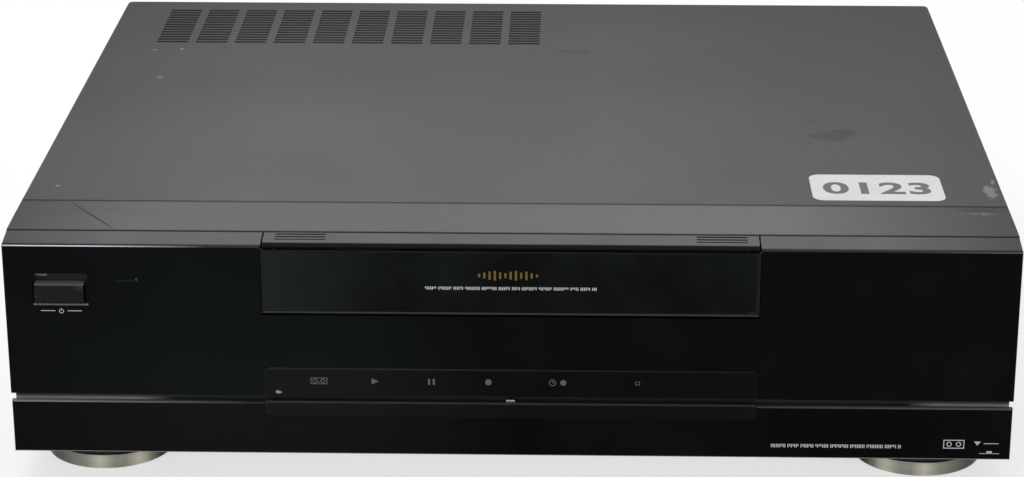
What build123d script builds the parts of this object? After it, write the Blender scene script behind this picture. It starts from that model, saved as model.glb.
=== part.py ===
from build123d import *
import math
import os

os.makedirs("parts", exist_ok=True)

# All lengths are millimetres. X runs to the right seen from the front, Y to the back, Z up.
# The origin is on the table, under the middle of the box that holds the whole recorder.

# Case
HALF_WIDTH = 215.0          # outside of the steel cover
STEEL = 1.0                 # cover, chassis and rear panel sheet
TOP_Z = 112.8               # flat top of the cover
BASE_Z = 15.0               # underside of the chassis, which stands on the feet
REAR_Y = 177.4              # rear edge of the cover
CREASE_Y = -138.0           # pressed step across the cover, where the front strip begins to fall
STEP = 0.5                  # height of that step
COVER_FRONT_Y = -172.2      # front edge of the cover
COVER_FRONT_Z = 111.4
COVER_FOOT_Z = 17.0         # lower edge of the cover's sides
BEND_RADIUS = 1.5           # bends between the top and the sides

# Air slots in the top: ten groups of short slots over the power supply and main board
VENT_GROUPS = 10
VENT_ROWS = 14
VENT_X = -189.0
VENT_PITCH_X = 20.1
VENT_LONG = 16.0
VENT_Y = 101.6
VENT_PITCH_Y = 4.45
VENT_WIDE = 2.9

# Label on the cover, and the screws that hold the cover
LABEL_X = (131.0, 189.0)
LABEL_Y = (-132.0, -98.0)
LABEL_THICK = 0.15
LABEL_CORNER = 5.0
COVER_SCREW_SIDE_Y = (-118.0, 128.0)
COVER_SCREW_SIDE_Z = 24.0
COVER_SCREW_REAR_X = (-190.0, 0.0, 190.0)
COVER_SCREW_REAR_Z = 106.0

# Front
FACE_Y = -186.0             # face of the gloss plate and of the lower door
PROUD = 0.75                # cassette lid and display lens stand this far proud
BUTTON_PROUD = 0.8
PLATE_THICK = 1.2
FASCIA_Y = FACE_Y + PLATE_THICK
FASCIA_TOP_Z = 109.5
FASCIA_REAR_Y = -172.9
FRONT_HALF = 214.8
NOTCH_LOW_Z = 38.1          # top edge of the lower door
NOTCH_TOP_Z = 41.4          # bottom edge of the gloss plate
STRIP_Z = (36.9, 42.9)      # bright strip behind the notch
STRIP_HALF = 213.6

# Cassette lid
LID_HALF = 105.3
LID_LOW_Z = 79.7
LID_FOOT_GAP = 1.1          # clearance under the lid
LID_TOP_Z = 108.3
LID_THICK = 2.0
LID_BEVEL = 1.6
LID_AXIS_Y = -183.7
LID_AXIS_Z = 107.4
GAP = 0.3                   # clearance round lid, lens and buttons

# Lower door
DOOR_THICK = 2.4
DOOR_LOW_Z = 14.2
DOOR_AXIS_Y = -181.0
DOOR_AXIS_Z = 18.0
LENS_TOP_Z = 54.6
LENS_SPLIT_Z = (39.0, 41.9)     # the smoked pane's gap at the notch
LENS_LOW_Z = 32.0

# Power button
BUTTON_X = (-202.0, -180.9)
RECESS_X = (-202.7, -179.2)
RECESS_Z = (82.9, 97.0)
RECESS_LIP = 0.5
RECESS_FLOOR_Y = -180.0
LAMP_X = (-202.4, -197.3)
LAMP_Z = (93.7, 94.5)

# Controls behind the lower door
PANEL_Y = (-174.0, -172.0)
KEY_SIZE = (17.0, 7.0)
KEY_Z = 28.0
KEY_X = {"eject": -176.0, "rewind": -150.0, "play": -128.0,
         "forward": -106.0, "stop": -84.0, "record": -58.0}
KNOB_X = 96.0
JOG_X = 62.0
CONTROL_Z = 28.0
SLIDER_X = (-24.0, 8.0)
FRONT_JACK_X = (136.0, 152.0, 168.0)

# Feet
FOOT_X = 179.0
FOOT_Y = (-146.0, 140.0)
FOOT_RADIUS = 28.5
FOOT_RING_Z = (0.6, 7.7)
PAD_RADIUS = 19.0

# Tape deck
DECK_Z = (40.0, 41.5)
DECK_X = (-128.0, 102.5)
DECK_Y = (-148.0, 104.0)
REEL_X = 46.15
REEL_Y = -43.0
DRUM_Y = 62.0
DRUM_Z = 46.0
DRUM_RADIUS = 31.0
DRUM_TILT = 5.0
CAPSTAN = (57.0, 19.0)
PINCH_PIVOT = (80.0, 36.0)
PINCH_ROLLER = (60.2, 33.3)
GUIDE_START = (33.0, 4.0)
GUIDE_END = (46.0, 66.0)

# Cassette carrier: inside it is 189.6 wide and 25.9 high, for a cassette of 187 by 25
CARRIER_Y = (-150.0, -47.0)
CARRIER_Z = (78.3, 106.1)
CARRIER_HALF = 96.0
CARRIER_SHEET = 1.0
CARRIER_PIN_Y = (-118.0, -78.0)
CARRIER_PIN_Z = 96.0
SLEDGE_Y = (-148.0, -48.0)
SLEDGE_X = (97.5, 99.0)
SLEDGE_PIN_Y = (-138.0, -58.0)
SLEDGE_PIN_Z = 90.5
BRACKET_X = (101.0, 102.5)
TRAVEL_IN = 60.0
TRAVEL_DOWN = 24.0

# Rear sockets
PANEL_REAR_Y = (175.3, 176.3)
SOCKET_REAR_Y = 186.8
PHONO_BORE = (1.65, 9.0)      # radius and depth of the centre hole
SCART_X = (-78.0, -18.0)
SCART_Z = 56.0
PHONO_X = (54.0, 72.0)
PHONO_Z = (46.0, 66.0)
AERIAL_X = (150.0, 178.0)
AERIAL_Z = 52.0
INLET_X = -176.0
INLET_Z = 44.0


def block(x0, x1, y0, y1, z0, z1):
    """A box given by its six faces."""
    middle = Pos((x0 + x1) / 2, (y0 + y1) / 2, (z0 + z1) / 2)
    return middle * Box(x1 - x0, y1 - y0, z1 - z0)


def rod_x(y, z, x0, x1, radius):
    """A cylinder that lies along X."""
    return Pos((x0 + x1) / 2, y, z) * Rot(0, 90, 0) * Cylinder(radius, x1 - x0)


def rod_y(x, z, y0, y1, radius):
    """A cylinder that lies along Y."""
    return Pos(x, (y0 + y1) / 2, z) * Rot(90, 0, 0) * Cylinder(radius, y1 - y0)


def rod_z(x, y, z0, z1, radius):
    """An upright cylinder."""
    return Pos(x, y, (z0 + z1) / 2) * Cylinder(radius, z1 - z0)


def side_profile(points, x0, x1):
    """A closed outline of (Y, Z) points, pushed from x0 to x1."""
    face = Plane.YZ.offset(x0) * Polygon(*points, align=None)
    return extrude(face, x1 - x0, dir=(1, 0, 0))


def both_sides(shape):
    """The shape and its mirror image across the middle of the recorder."""
    return shape + mirror(shape, Plane.YZ)


def join(shapes):
    """One shape out of a list of shapes."""
    whole = shapes[0]
    for shape in shapes[1:]:
        whole = whole + shape
    return whole


def prism(radius, height, sides=12):
    """An upright prism centred on the origin, which stands in for a small repeated round."""
    return extrude(RegularPolygon(radius, sides), height / 2, both=True)


def prism_x(y, z, x0, x1, radius, sides=12):
    """A prism that lies along X."""
    return Pos((x0 + x1) / 2, y, z) * Rot(0, 90, 0) * prism(radius, x1 - x0, sides)


def prism_y(x, z, y0, y1, radius, sides=12):
    """A prism that lies along Y."""
    return Pos(x, (y0 + y1) / 2, z) * Rot(90, 0, 0) * prism(radius, y1 - y0, sides)


def prism_z(x, y, z0, z1, radius, sides=12):
    """A prism that stands upright."""
    return Pos(x, y, (z0 + z1) / 2) * prism(radius, z1 - z0, sides)


def foot_places():
    return [(x, y) for x in (-FOOT_X, FOOT_X) for y in FOOT_Y]


# ---------------------------------------------------------------- case

def top_cover():
    """Bent steel cover: flat top, stepped and sloping front strip, two sides, rear return flange."""
    outline = [(COVER_FRONT_Y, COVER_FOOT_Z), (COVER_FRONT_Y, COVER_FRONT_Z), (CREASE_Y, TOP_Z - STEP),
               (CREASE_Y, TOP_Z), (REAR_Y, TOP_Z), (REAR_Y, COVER_FOOT_Z)]
    outer = side_profile(outline, -HALF_WIDTH, HALF_WIDTH)
    rear_corners = outer.edges().filter_by(Axis.Z).group_by(Axis.Y)[-1]
    outer = fillet(rear_corners, 3.5)
    bent = block(-HALF_WIDTH, HALF_WIDTH, COVER_FRONT_Y - 5, REAR_Y + 5, COVER_FOOT_Z - 5, TOP_Z)
    outer = outer & fillet(bent.edges().filter_by(Axis.Y).group_by(Axis.Z)[-1], BEND_RADIUS)
    lip = COVER_FRONT_Z - 2.2
    hollow = [(COVER_FRONT_Y - 1, COVER_FOOT_Z - 2), (COVER_FRONT_Y - 1, lip), (COVER_FRONT_Y + STEEL, lip),
              (COVER_FRONT_Y + STEEL, COVER_FRONT_Z - STEEL), (CREASE_Y + STEEL, TOP_Z - STEP - STEEL),
              (CREASE_Y + STEEL, TOP_Z - STEEL), (REAR_Y - STEEL, TOP_Z - STEEL),
              (REAR_Y - STEEL, COVER_FOOT_Z - 2)]
    inner_half = HALF_WIDTH - STEEL
    inner = side_profile(hollow, -inner_half, inner_half)
    inner = fillet(inner.edges().filter_by(Axis.Z).group_by(Axis.Y)[-1], 2.5)
    cover = outer - inner
    cover = cover - block(-204, 204, REAR_Y - 3, REAR_Y + 2, COVER_FOOT_Z - 1, TOP_Z - 13)
    cuts = []
    for group in range(VENT_GROUPS):
        x = VENT_X + group * VENT_PITCH_X
        for row in range(VENT_ROWS):
            y = VENT_Y + row * VENT_PITCH_Y
            cuts.append(block(x, x + VENT_LONG, y, y + VENT_WIDE, TOP_Z - 3, TOP_Z + 1))
    return cover - cuts


def cover_label():
    """Paper label with a counter number, stuck on the right of the flat top."""
    label = block(LABEL_X[0], LABEL_X[1], LABEL_Y[0], LABEL_Y[1], TOP_Z, TOP_Z + LABEL_THICK)
    return fillet(label.edges().filter_by(Axis.Z), LABEL_CORNER)


def bottom_chassis():
    """Steel tray with low side walls, foot holes and two fields of air slots."""
    half = HALF_WIDTH - 2.0
    floor = block(-half, half, -174, 175.2, BASE_Z, BASE_Z + STEEL)
    wall = block(half - STEEL, half, -160, 175.2, BASE_Z, 34)
    tray = floor + both_sides(wall)
    tray = tray + block(-half, half, -160, -159, BASE_Z, 22)
    cuts = []
    for x in (-150.0, 60.0):
        for row in range(9):
            y = 40 + row * 8
            cuts.append(block(x, x + 60, y, y + 3, BASE_Z - 1, BASE_Z + 2))
    return tray - cuts


def scart_outline(centre_x, centre_z, grow):
    """D-shaped outline of a 21-pin socket, wider by grow all round."""
    w = 23.6 + grow
    h = 6.8 + grow
    return [(centre_x - w, centre_z - h), (centre_x + w, centre_z - h), (centre_x + w, centre_z + h - 5),
            (centre_x + w - 5, centre_z + h), (centre_x - w, centre_z + h)]


def rear_profile(points, y0, y1):
    """A closed outline of (X, Z) points, pushed from y0 back to y1."""
    face = Plane(origin=(0, y0, 0), x_dir=(1, 0, 0), z_dir=(0, -1, 0)) * Polygon(*points, align=None)
    return extrude(face, y1 - y0, dir=(0, 1, 0))


def rear_panel():
    """Steel rear wall with cut-outs for the sockets and a field of upright air slots."""
    y0, y1 = PANEL_REAR_Y
    panel = block(-211.5, 211.5, y0, y1, BASE_Z, 111.2)
    cuts = [rear_profile(scart_outline(x, SCART_Z, 1.7), y0 - 1, y1 + 1) for x in SCART_X]
    cuts.append(block(PHONO_X[0] - 9.3, PHONO_X[-1] + 9.3, y0 - 1, y1 + 1,
                      PHONO_Z[0] - 9.3, PHONO_Z[-1] + 9.3))
    for x in AERIAL_X:
        cuts.append(rod_y(x, AERIAL_Z, y0 - 1, y1 + 1, 6.2))
    cuts.append(block(INLET_X - 15, INLET_X + 15, y0 - 1, y1 + 1, INLET_Z - 10, INLET_Z + 10))
    for column in range(12):
        x = -190 + column * 6
        cuts.append(block(x, x + 2.5, y0 - 1, y1 + 1, 66, 92))
    return panel - cuts


def cover_screws():
    """Pan heads of the screws that hold the cover: two in each side and three along the back."""
    high = 1.4
    heads = []
    for y in COVER_SCREW_SIDE_Y:
        heads.append(both_sides(prism_x(y, COVER_SCREW_SIDE_Z, HALF_WIDTH, HALF_WIDTH + high, 3.4)))
    for x in COVER_SCREW_REAR_X:
        heads.append(prism_y(x, COVER_SCREW_REAR_Z, REAR_Y, REAR_Y + high, 3.4))
    return join(heads)


# ---------------------------------------------------------------- feet

def foot_rings():
    """Silver rings round the four feet."""
    low, high = FOOT_RING_Z
    bore = PAD_RADIUS + 1.3
    return join([rod_z(x, y, low, high, FOOT_RADIUS) - rod_z(x, y, low - 1, high + 1, bore)
                 for x, y in foot_places()])


def foot_bodies():
    """Black plastic necks, tapered between the rings and the chassis."""
    low = FOOT_RING_Z[1]
    return join([Pos(x, y, (low + BASE_Z) / 2) * Cone(FOOT_RADIUS - 0.5, 24.0, BASE_Z - low)
                 for x, y in foot_places()])


def foot_pads():
    """Rubber inserts in the rings, which the recorder stands on."""
    return join([rod_z(x, y, 0, FOOT_RING_Z[1], PAD_RADIUS) for x, y in foot_places()])


# ---------------------------------------------------------------- front

def front_plate():
    """Thin gloss plate over the fascia, cut out for the lid, the lens and the power button."""
    plate = block(-FRONT_HALF, FRONT_HALF, FACE_Y, FASCIA_Y, NOTCH_TOP_Z, FASCIA_TOP_Z)
    plate = chamfer(plate.edges().group_by(Axis.Y)[0], 0.4)
    opening = LID_HALF + GAP
    cuts = [block(-opening, opening, FACE_Y - 1, FASCIA_Y + 1, LID_LOW_Z - LID_FOOT_GAP, FASCIA_TOP_Z + 1)]
    cuts.append(block(-LID_HALF - 0.2, LID_HALF + 0.2, FACE_Y - 1, FASCIA_Y + 1,
                      NOTCH_TOP_Z - 1, LENS_TOP_Z + 0.2))
    cuts.append(block(RECESS_X[0], RECESS_X[1], FACE_Y - 1, FASCIA_Y + 1, RECESS_Z[0], RECESS_Z[1]))
    lip = [(FACE_Y - 0.1, RECESS_Z[0] - RECESS_LIP - 0.1), (FACE_Y - 0.1, RECESS_Z[0] + 0.1),
           (FACE_Y + RECESS_LIP + 0.1, RECESS_Z[0] + 0.1)]
    cuts.append(side_profile(lip, RECESS_X[0], RECESS_X[1]))
    return plate - cuts


def front_fascia():
    """Black moulding behind the gloss plate: hollow upper box, cassette chute, lower frame."""
    rear_z = FASCIA_TOP_Z + 1.9
    shell = side_profile([(FASCIA_Y, 43), (FASCIA_Y, FASCIA_TOP_Z), (FASCIA_REAR_Y, rear_z),
                          (FASCIA_REAR_Y, 43)], -FRONT_HALF, FRONT_HALF)
    hollow = side_profile([(-182.4, 45), (-182.4, FASCIA_TOP_Z - 2.2), (-171, rear_z - 2.0), (-171, 45)],
                          -212.4, 212.4)
    opening = LID_HALF + GAP
    body = shell - hollow
    body = body - block(-opening, opening, -190, -170, LID_LOW_Z - LID_FOOT_GAP, 115)
    body = body - block(-99, 99, -190, -182, 46.2, 53.0)
    body = body + block(-opening - 2, opening + 2, -175.6, FASCIA_REAR_Y, 108.7, 109.4)

    pocket = block(RECESS_X[0] - 1.8, RECESS_X[1] + 1.8, -182.6, RECESS_FLOOR_Y + 1.5,
                   RECESS_Z[0] - 1.8, RECESS_Z[1] + 1.8)
    body = body + pocket
    body = body - block(RECESS_X[0], RECESS_X[1], -190, RECESS_FLOOR_Y, RECESS_Z[0], RECESS_Z[1])
    middle = (BUTTON_X[0] + BUTTON_X[1]) / 2
    body = body - rod_y(middle, 87.5, -182, -176, 2.4)
    body = body - block(LAMP_X[0] - 0.1, LAMP_X[1] + 0.1, -182, -176, LAMP_Z[0] - 0.1, LAMP_Z[1] + 0.1)

    chute = block(-107.6, 107.6, FASCIA_Y, -153.5, 76.4, 78.0)
    chute = chute + both_sides(block(opening, 107.6, -182.6, -153.5, 76.4, 104.0))
    boss = both_sides(block(opening, 110.5, FASCIA_Y, -180.6, 104.0, 109.2))
    body = body + chute + boss
    body = body - rod_x(LID_AXIS_Y, LID_AXIS_Z, -109.5, 109.5, 0.75)

    cheek = side_profile([(-183.2, 43.2), (-183.2, 18.0), (-182.3, 16.0), (-179.0, 16.0),
                          (-177.0, 16.2), (-166, 16.2), (-166, 43.2)], 208.2, 212.0)
    body = body + both_sides(cheek)
    body = body + block(-208.4, 208.4, -180.2, -170, 38.4, 43.2)
    body = body + block(-208.4, 208.4, -175, -166, 16.2, 17.8)
    body = body - block(-STRIP_HALF - 0.4, STRIP_HALF + 0.4, -184, -180.2, STRIP_Z[0] - 0.2, 43.0)
    pin = rod_x(DOOR_AXIS_Y, DOOR_AXIS_Z, 207.0, 211.0, 1.25)
    return body - both_sides(pin)


def fascia_top_moulding():
    """Separate piece over the cassette lid, with a rounded nose and finger ribs near its ends."""
    rear_z = FASCIA_TOP_Z + 1.9
    nose = FACE_Y + 0.5
    outline = [(nose, 108.7), (nose, FASCIA_TOP_Z - 0.05), (FASCIA_REAR_Y, rear_z),
               (FASCIA_REAR_Y, 109.5), (-175.8, 109.5), (-175.8, 108.7)]
    piece = side_profile(outline, -LID_HALF + 0.4, LID_HALF - 0.4)
    piece = fillet(piece.edges().filter_by(Axis.X).group_by(Axis.Y)[0].sort_by(Axis.Z)[-1:], 0.6)
    grooves = []
    for row in range(3):
        y = -179.4 + row * 2.2
        grooves.append(both_sides(block(78.5, 100, y, y + 0.9, 110.2, 113)))
    return piece - grooves


def display_lens():
    """Smoked pane over the display, its lower edge at the notch."""
    pane = block(-LID_HALF, LID_HALF, FACE_Y - PROUD, FASCIA_Y - 0.05, LENS_SPLIT_Z[1], LENS_TOP_Z)
    pane = fillet(pane.edges().filter_by(Axis.Y).group_by(Axis.Z)[-1], 1.5)
    return chamfer(pane.edges().group_by(Axis.Y)[0], 0.6)


def door_lens():
    """Lower part of the smoked pane, which opens with the lower door."""
    pane = block(-LID_HALF, LID_HALF, FACE_Y - PROUD, FACE_Y + 0.95, LENS_LOW_Z, LENS_SPLIT_Z[0])
    pane = fillet(pane.edges().filter_by(Axis.Y).group_by(Axis.Z)[0], 1.5)
    return chamfer(pane.edges().group_by(Axis.Y)[0], 0.6)


def door_catch():
    """Small bright tongue in the middle of the lower door's top edge."""
    return block(-1.9, 1.9, FACE_Y + 1.1, FACE_Y + DOOR_THICK - 0.2, 35.0, 39.8)


def control_door():
    """Full-width lower door with two hinge ears at its bottom corners."""
    back = FACE_Y + DOOR_THICK
    door = block(-214.6, 214.6, FACE_Y, back, DOOR_LOW_Z, NOTCH_LOW_Z)
    door = chamfer(door.edges().group_by(Axis.Y)[0], 0.5)
    door = door - block(-LID_HALF - 0.1, LID_HALF + 0.1, FACE_Y - 1, FACE_Y + 1, LENS_LOW_Z - 0.1, 45)
    door = door - block(-2.0, 2.0, FACE_Y + 1, back - 0.1, 34.9, 45)
    ear = rod_x(DOOR_AXIS_Y, DOOR_AXIS_Z, 204.9, 207.9, 2.5)
    ear = ear + block(204.9, 207.9, back - 0.2, DOOR_AXIS_Y, DOOR_AXIS_Z - 2.5, DOOR_AXIS_Z + 2.5)
    ear = ear - rod_x(DOOR_AXIS_Y, DOOR_AXIS_Z, 204, 209, 1.25)
    rib = block(-200, 200, back, back + 1.2, 36.2, 37.4)
    return door + both_sides(ear) + rib


def cassette_door():
    """Bevelled lid over the cassette slot, hinged along its top edge to swing inwards."""
    face = FACE_Y - PROUD
    lid = block(-LID_HALF, LID_HALF, face, face + LID_THICK, LID_LOW_Z, LID_TOP_Z)
    front = lid.faces().sort_by(Axis.Y)[0]
    ends_and_foot = front.edges().filter_by(Axis.Z) + front.edges().filter_by(Axis.X).sort_by(Axis.Z)[:1]
    lid = chamfer(ends_and_foot, length=LID_BEVEL, length2=0.8, reference=front)
    lid = fillet(lid.edges().filter_by(Axis.X).group_by(Axis.Z)[-1].sort_by(Axis.Y)[:1], 0.7)
    lug = rod_x(LID_AXIS_Y, LID_AXIS_Z, 100.5, 105.0, 1.1)
    lug = lug + block(100.5, 105.0, face + LID_THICK - 0.2, LID_AXIS_Y, LID_AXIS_Z - 1.1, LID_TOP_Z)
    lug = lug - rod_x(LID_AXIS_Y, LID_AXIS_Z, 99, 106, 0.75)
    return lid + both_sides(lug)


def front_hinge_pins():
    """Steel hinge pins: two for the cassette lid, two for the lower door."""
    lid_pins = both_sides(rod_x(LID_AXIS_Y, LID_AXIS_Z, 101.0, 109.2, 0.7))
    return lid_pins + both_sides(rod_x(DOOR_AXIS_Y, DOOR_AXIS_Z, 204.5, 210.8, 1.2))


def trim_strip():
    """Bright strip along the notch between the gloss plate and the lower door."""
    low, high = STRIP_Z
    outline = [(-181.6, low), (-180.3, low), (-180.3, high), (-181.0, high)]
    return side_profile(outline, -STRIP_HALF, STRIP_HALF)


def power_button():
    """Oblong push button with a sloping top and a stem through the floor of its recess."""
    face = FACE_Y - BUTTON_PROUD
    cap = side_profile([(face, 83.7), (face, 91.5), (-181.9, 92.1), (-181.9, 83.7)], BUTTON_X[0], BUTTON_X[1])
    cap = fillet(cap.edges().group_by(Axis.Y)[0], 0.5)
    middle = (BUTTON_X[0] + BUTTON_X[1]) / 2
    return cap + rod_y(middle, 87.5, -182.5, -174.0, 2.0)


def power_lamp():
    """Light bar above the power button."""
    return block(LAMP_X[0], LAMP_X[1], -180.4, -177.5, LAMP_Z[0], LAMP_Z[1])


def control_panel():
    """Inner panel behind the lower door, with openings for keys, knobs, slider and jacks."""
    y0, y1 = PANEL_Y
    panel = block(-208, 208, y0, y1, 17.9, 38.3)
    cuts = []
    for x in KEY_X.values():
        wide = KEY_SIZE[0] / 2 + GAP
        high = KEY_SIZE[1] / 2 + GAP
        cuts.append(block(x - wide, x + wide, y0 - 1, y1 + 1, KEY_Z - high, KEY_Z + high))
    cuts.append(rod_y(KNOB_X, CONTROL_Z, y0 - 1, y1 + 1, 2.3))
    cuts.append(rod_y(JOG_X, CONTROL_Z, y0 - 1, y1 + 1, 2.3))
    cuts.append(block(SLIDER_X[0] - 3, SLIDER_X[1] + 3, y0 - 1, y1 + 1, CONTROL_Z - 1.2, CONTROL_Z + 1.2))
    cuts.append(block(FRONT_JACK_X[0] - 7.3, FRONT_JACK_X[-1] + 7.3, y0 - 1, y1 + 1,
                      CONTROL_Z - 7.3, CONTROL_Z + 7.3))
    return panel - cuts


def key(name):
    """One transport key; its middle carries a raised rib to find by touch on play only."""
    x = KEY_X[name]
    cap = block(x - KEY_SIZE[0] / 2, x + KEY_SIZE[0] / 2, -177.6, -172.8,
                KEY_Z - KEY_SIZE[1] / 2, KEY_Z + KEY_SIZE[1] / 2)
    cap = chamfer(cap.edges().group_by(Axis.Y)[0], 0.6)
    if name == "play":
        cap = cap + block(x - 3, x + 3, -177.9, -177.4, KEY_Z - 0.4, KEY_Z + 0.4)
    return cap


def tracking_knob():
    """Small many-sided knob with a pointer groove, on a shaft."""
    knob = prism_y(KNOB_X, CONTROL_Z, -179.4, -174.4, 5.6, 24)
    knob = knob - block(KNOB_X - 0.4, KNOB_X + 0.4, -180, -178.9, CONTROL_Z + 1.5, CONTROL_Z + 7)
    return knob + rod_y(KNOB_X, CONTROL_Z, -174.6, -169.0, 2.0)


def jog_dial():
    """Flat dial with a round finger dimple, for picture search."""
    dial = prism_y(JOG_X, CONTROL_Z, -179.0, -174.4, 8.8, 36)
    dial = dial - prism_y(JOG_X, CONTROL_Z + 4.6, -180, -177.8, 3.0)
    return dial + rod_y(JOG_X, CONTROL_Z, -174.6, -169.0, 2.0)


def level_slider():
    """Recording level slider."""
    x = SLIDER_X[0]
    cap = block(x - 2.2, x + 2.2, -178.6, -174.3, CONTROL_Z - 3.4, CONTROL_Z + 3.4)
    cap = chamfer(cap.edges().group_by(Axis.Y)[0], 0.6)
    return cap + block(x - 1.2, x + 1.2, -174.4, -170.2, CONTROL_Z - 0.9, CONTROL_Z + 0.9)


def jack_bore(x, z, mouth, direction):
    """Centre hole of a phono jack, from its mouth inwards; direction is -1 to the front, 1 to the rear."""
    radius, deep = PHONO_BORE
    ends = sorted((mouth + direction, mouth - direction * deep))
    return rod_y(x, z, ends[0], ends[1], radius)


def display_tube():
    """Flat glass display tube behind the lens."""
    tube = block(-84, 84, -178.0, -171.5, 45.6, 54.0)
    tube = tube + block(86, 90, -175.5, -173.5, 48.8, 50.8)
    return tube + block(84, 86.5, -175.5, -173.5, 48.8, 50.8)


def front_boards():
    """Three circuit boards behind the fascia: power switch, display and, below, the keys."""
    y0, y1 = -168.0, -166.4
    middle = (BUTTON_X[0] + BUTTON_X[1]) / 2
    parts = [block(-207, -176, y0, y1, 74, 100)]
    parts.append(block(middle - 4, middle + 4, -172.2, y0, 83.5, 91.5))
    parts.append(block(-120, 120, y0, y1, 45.4, 74.0))
    parts += [block(x, x + 26, -171.0, y0, 60, 70) for x in (-90, -30, 40)]
    parts += [block(x, x + 2, -171.5, y0, 47, 52) for x in (-80, -40, 0, 40, 78)]
    parts.append(block(-206, 206, y0, y1, 18.2, 38.0))
    parts += [block(x - 3, x + 3, -171.3, y0, KEY_Z - 3, KEY_Z + 3) for x in KEY_X.values()]
    parts.append(block(SLIDER_X[0] - 6, SLIDER_X[1] + 6, -169.8, y0, CONTROL_Z - 4, CONTROL_Z + 4))
    parts += [block(x - 6, x + 6, -168.8, y0, CONTROL_Z - 6, CONTROL_Z + 6) for x in (KNOB_X, JOG_X)]
    return join(parts)


# ---------------------------------------------------------------- tape deck

def guide_slot(sign, half_width, z0, z1, extra):
    """Straight track for one tape guide, from beside the reels to beside the drum."""
    dx = sign * (GUIDE_END[0] - GUIDE_START[0])
    dy = GUIDE_END[1] - GUIDE_START[1]
    long = math.hypot(dx, dy) + 2 * extra
    middle = Pos(sign * (GUIDE_START[0] + GUIDE_END[0]) / 2, (GUIDE_START[1] + GUIDE_END[1]) / 2,
                 (z0 + z1) / 2)
    turn = math.degrees(math.atan2(dy, dx))
    return middle * Rot(0, 0, turn) * Box(long, 2 * half_width, z1 - z0)


def deck_plate():
    """Pressed steel plate that carries the whole tape mechanism."""
    plate = block(DECK_X[0], DECK_X[1], DECK_Y[0], DECK_Y[1], DECK_Z[0], DECK_Z[1])
    cuts = [guide_slot(s, 2.7, 39, 43, 4.5) for s in (-1, 1)]
    cuts.append(rod_z(CAPSTAN[0], CAPSTAN[1], 39, 43, 4.0))
    cuts += [block(x, x + 36, -131, -95, 39, 43) for x in (-58, 22)]
    return plate - cuts


def deck_post_places():
    return [(-120, -140), (-120, 96), (96, -140), (96, 96)]


def deck_posts():
    """Hexagonal pillars between the chassis and the deck plate."""
    return join([prism_z(x, y, BASE_Z + STEEL, DECK_Z[0], 5.0, 6) for x, y in deck_post_places()])


def machine_screws():
    """Plated screw heads over the deck plate's pillars."""
    return join([prism_z(x, y, DECK_Z[1], DECK_Z[1] + 2.0, 3.4) for x, y in deck_post_places()])


def deck_brackets():
    """Upright plates each side of the carrier, slotted for the sledge's pins."""
    x0, x1 = BRACKET_X
    wall = block(x0, x1, -151, 22, DECK_Z[1], 108.5)
    slot = block(x0 - 1, x1 + 1, SLEDGE_PIN_Y[0] - 2.6, SLEDGE_PIN_Y[1] + TRAVEL_IN + 2.6,
                 SLEDGE_PIN_Z - 2.5, SLEDGE_PIN_Z + 2.5)
    window = block(x0 - 1, x1 + 1, -120, -10, 52, 76)
    foot = block(88, x1, 10, 22, DECK_Z[1], DECK_Z[1] + 1.5)
    foot = foot + block(88, x1, -151, -139, DECK_Z[1], DECK_Z[1] + 1.5)
    foot = foot - rod_z(96, -140, 40, 45, 4.0)
    return both_sides(wall - slot - window + foot)


def cassette_sledge():
    """Two side plates joined by a bridge; they slide back and carry the carrier with them."""
    x0, x1 = SLEDGE_X
    plate = block(x0, x1, SLEDGE_Y[0], SLEDGE_Y[1], 62, 106.5)
    plate = plate + block(x0, x1, -62, -50, 106, 109.8)
    cuts = []
    for y in CARRIER_PIN_Y:
        cuts.append(block(x0 - 1, x1 + 1, y - 2.3, y + 2.3,
                          CARRIER_PIN_Z - TRAVEL_DOWN - 2.4, CARRIER_PIN_Z + 2.4))
    pins = [prism_x(y, SLEDGE_PIN_Z, x1 - 0.5, BRACKET_X[1] + 1.0, 2.0, 16) for y in SLEDGE_PIN_Y]
    side = plate - cuts
    side = join([side] + pins)
    return both_sides(side) + block(-x1, x1, -60, -52, 108.6, 109.8)


def cassette_carrier():
    """Sheet-metal tray for the cassette: side walls, windowed top, narrow floor rails."""
    y0, y1 = CARRIER_Y
    z0, z1 = CARRIER_Z
    inner = CARRIER_HALF - 1.2
    wall = block(inner, CARRIER_HALF, y0, y1, z0, z1)
    rail = block(80, inner + 0.2, y0, y1, z0, z0 + 0.9)
    top = block(-CARRIER_HALF, CARRIER_HALF, y0, y1, z1 - CARRIER_SHEET, z1)
    top = top - [block(x, x + 38, y0 + 28, y0 + 66, z1 - 3, z1 + 1) for x in (-64, -19, 26)]
    bar = block(-81, 81, y0, y0 + 6, z0, z0 + 0.9)
    pins = [prism_x(y, CARRIER_PIN_Z, inner + 0.2, SLEDGE_X[1] + 1.0, 2.0, 16) for y in CARRIER_PIN_Y]
    return both_sides(join([wall, rail] + pins)) + top + bar


def reel_table(sign):
    """Reel table: drive gear as a fine-sided disc, spindle with three ribs and a pointed top."""
    x = sign * REEL_X
    table = prism_z(x, REEL_Y, 44, 50, 19.0, 48) + prism_z(x, REEL_Y, 50, 63, 5.2)
    cap = Pos(x, REEL_Y, 63) * extrude(RegularPolygon(5.2, 12), 2.0, taper=40)
    table = table + cap
    for step in range(3):
        rib = Pos(x, REEL_Y, 55.5) * Rot(0, 0, step * 120) * Pos(5.4, 0, 0) * Box(3.0, 2.0, 11.0)
        table = table + rib
    return table - rod_z(x, REEL_Y, 42, 67, 1.55)


def drum_plane():
    lean = math.radians(DRUM_TILT)
    return Plane(origin=(0, DRUM_Y, DRUM_Z), x_dir=(1, 0, 0), z_dir=(0, math.sin(lean), math.cos(lean)))


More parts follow.
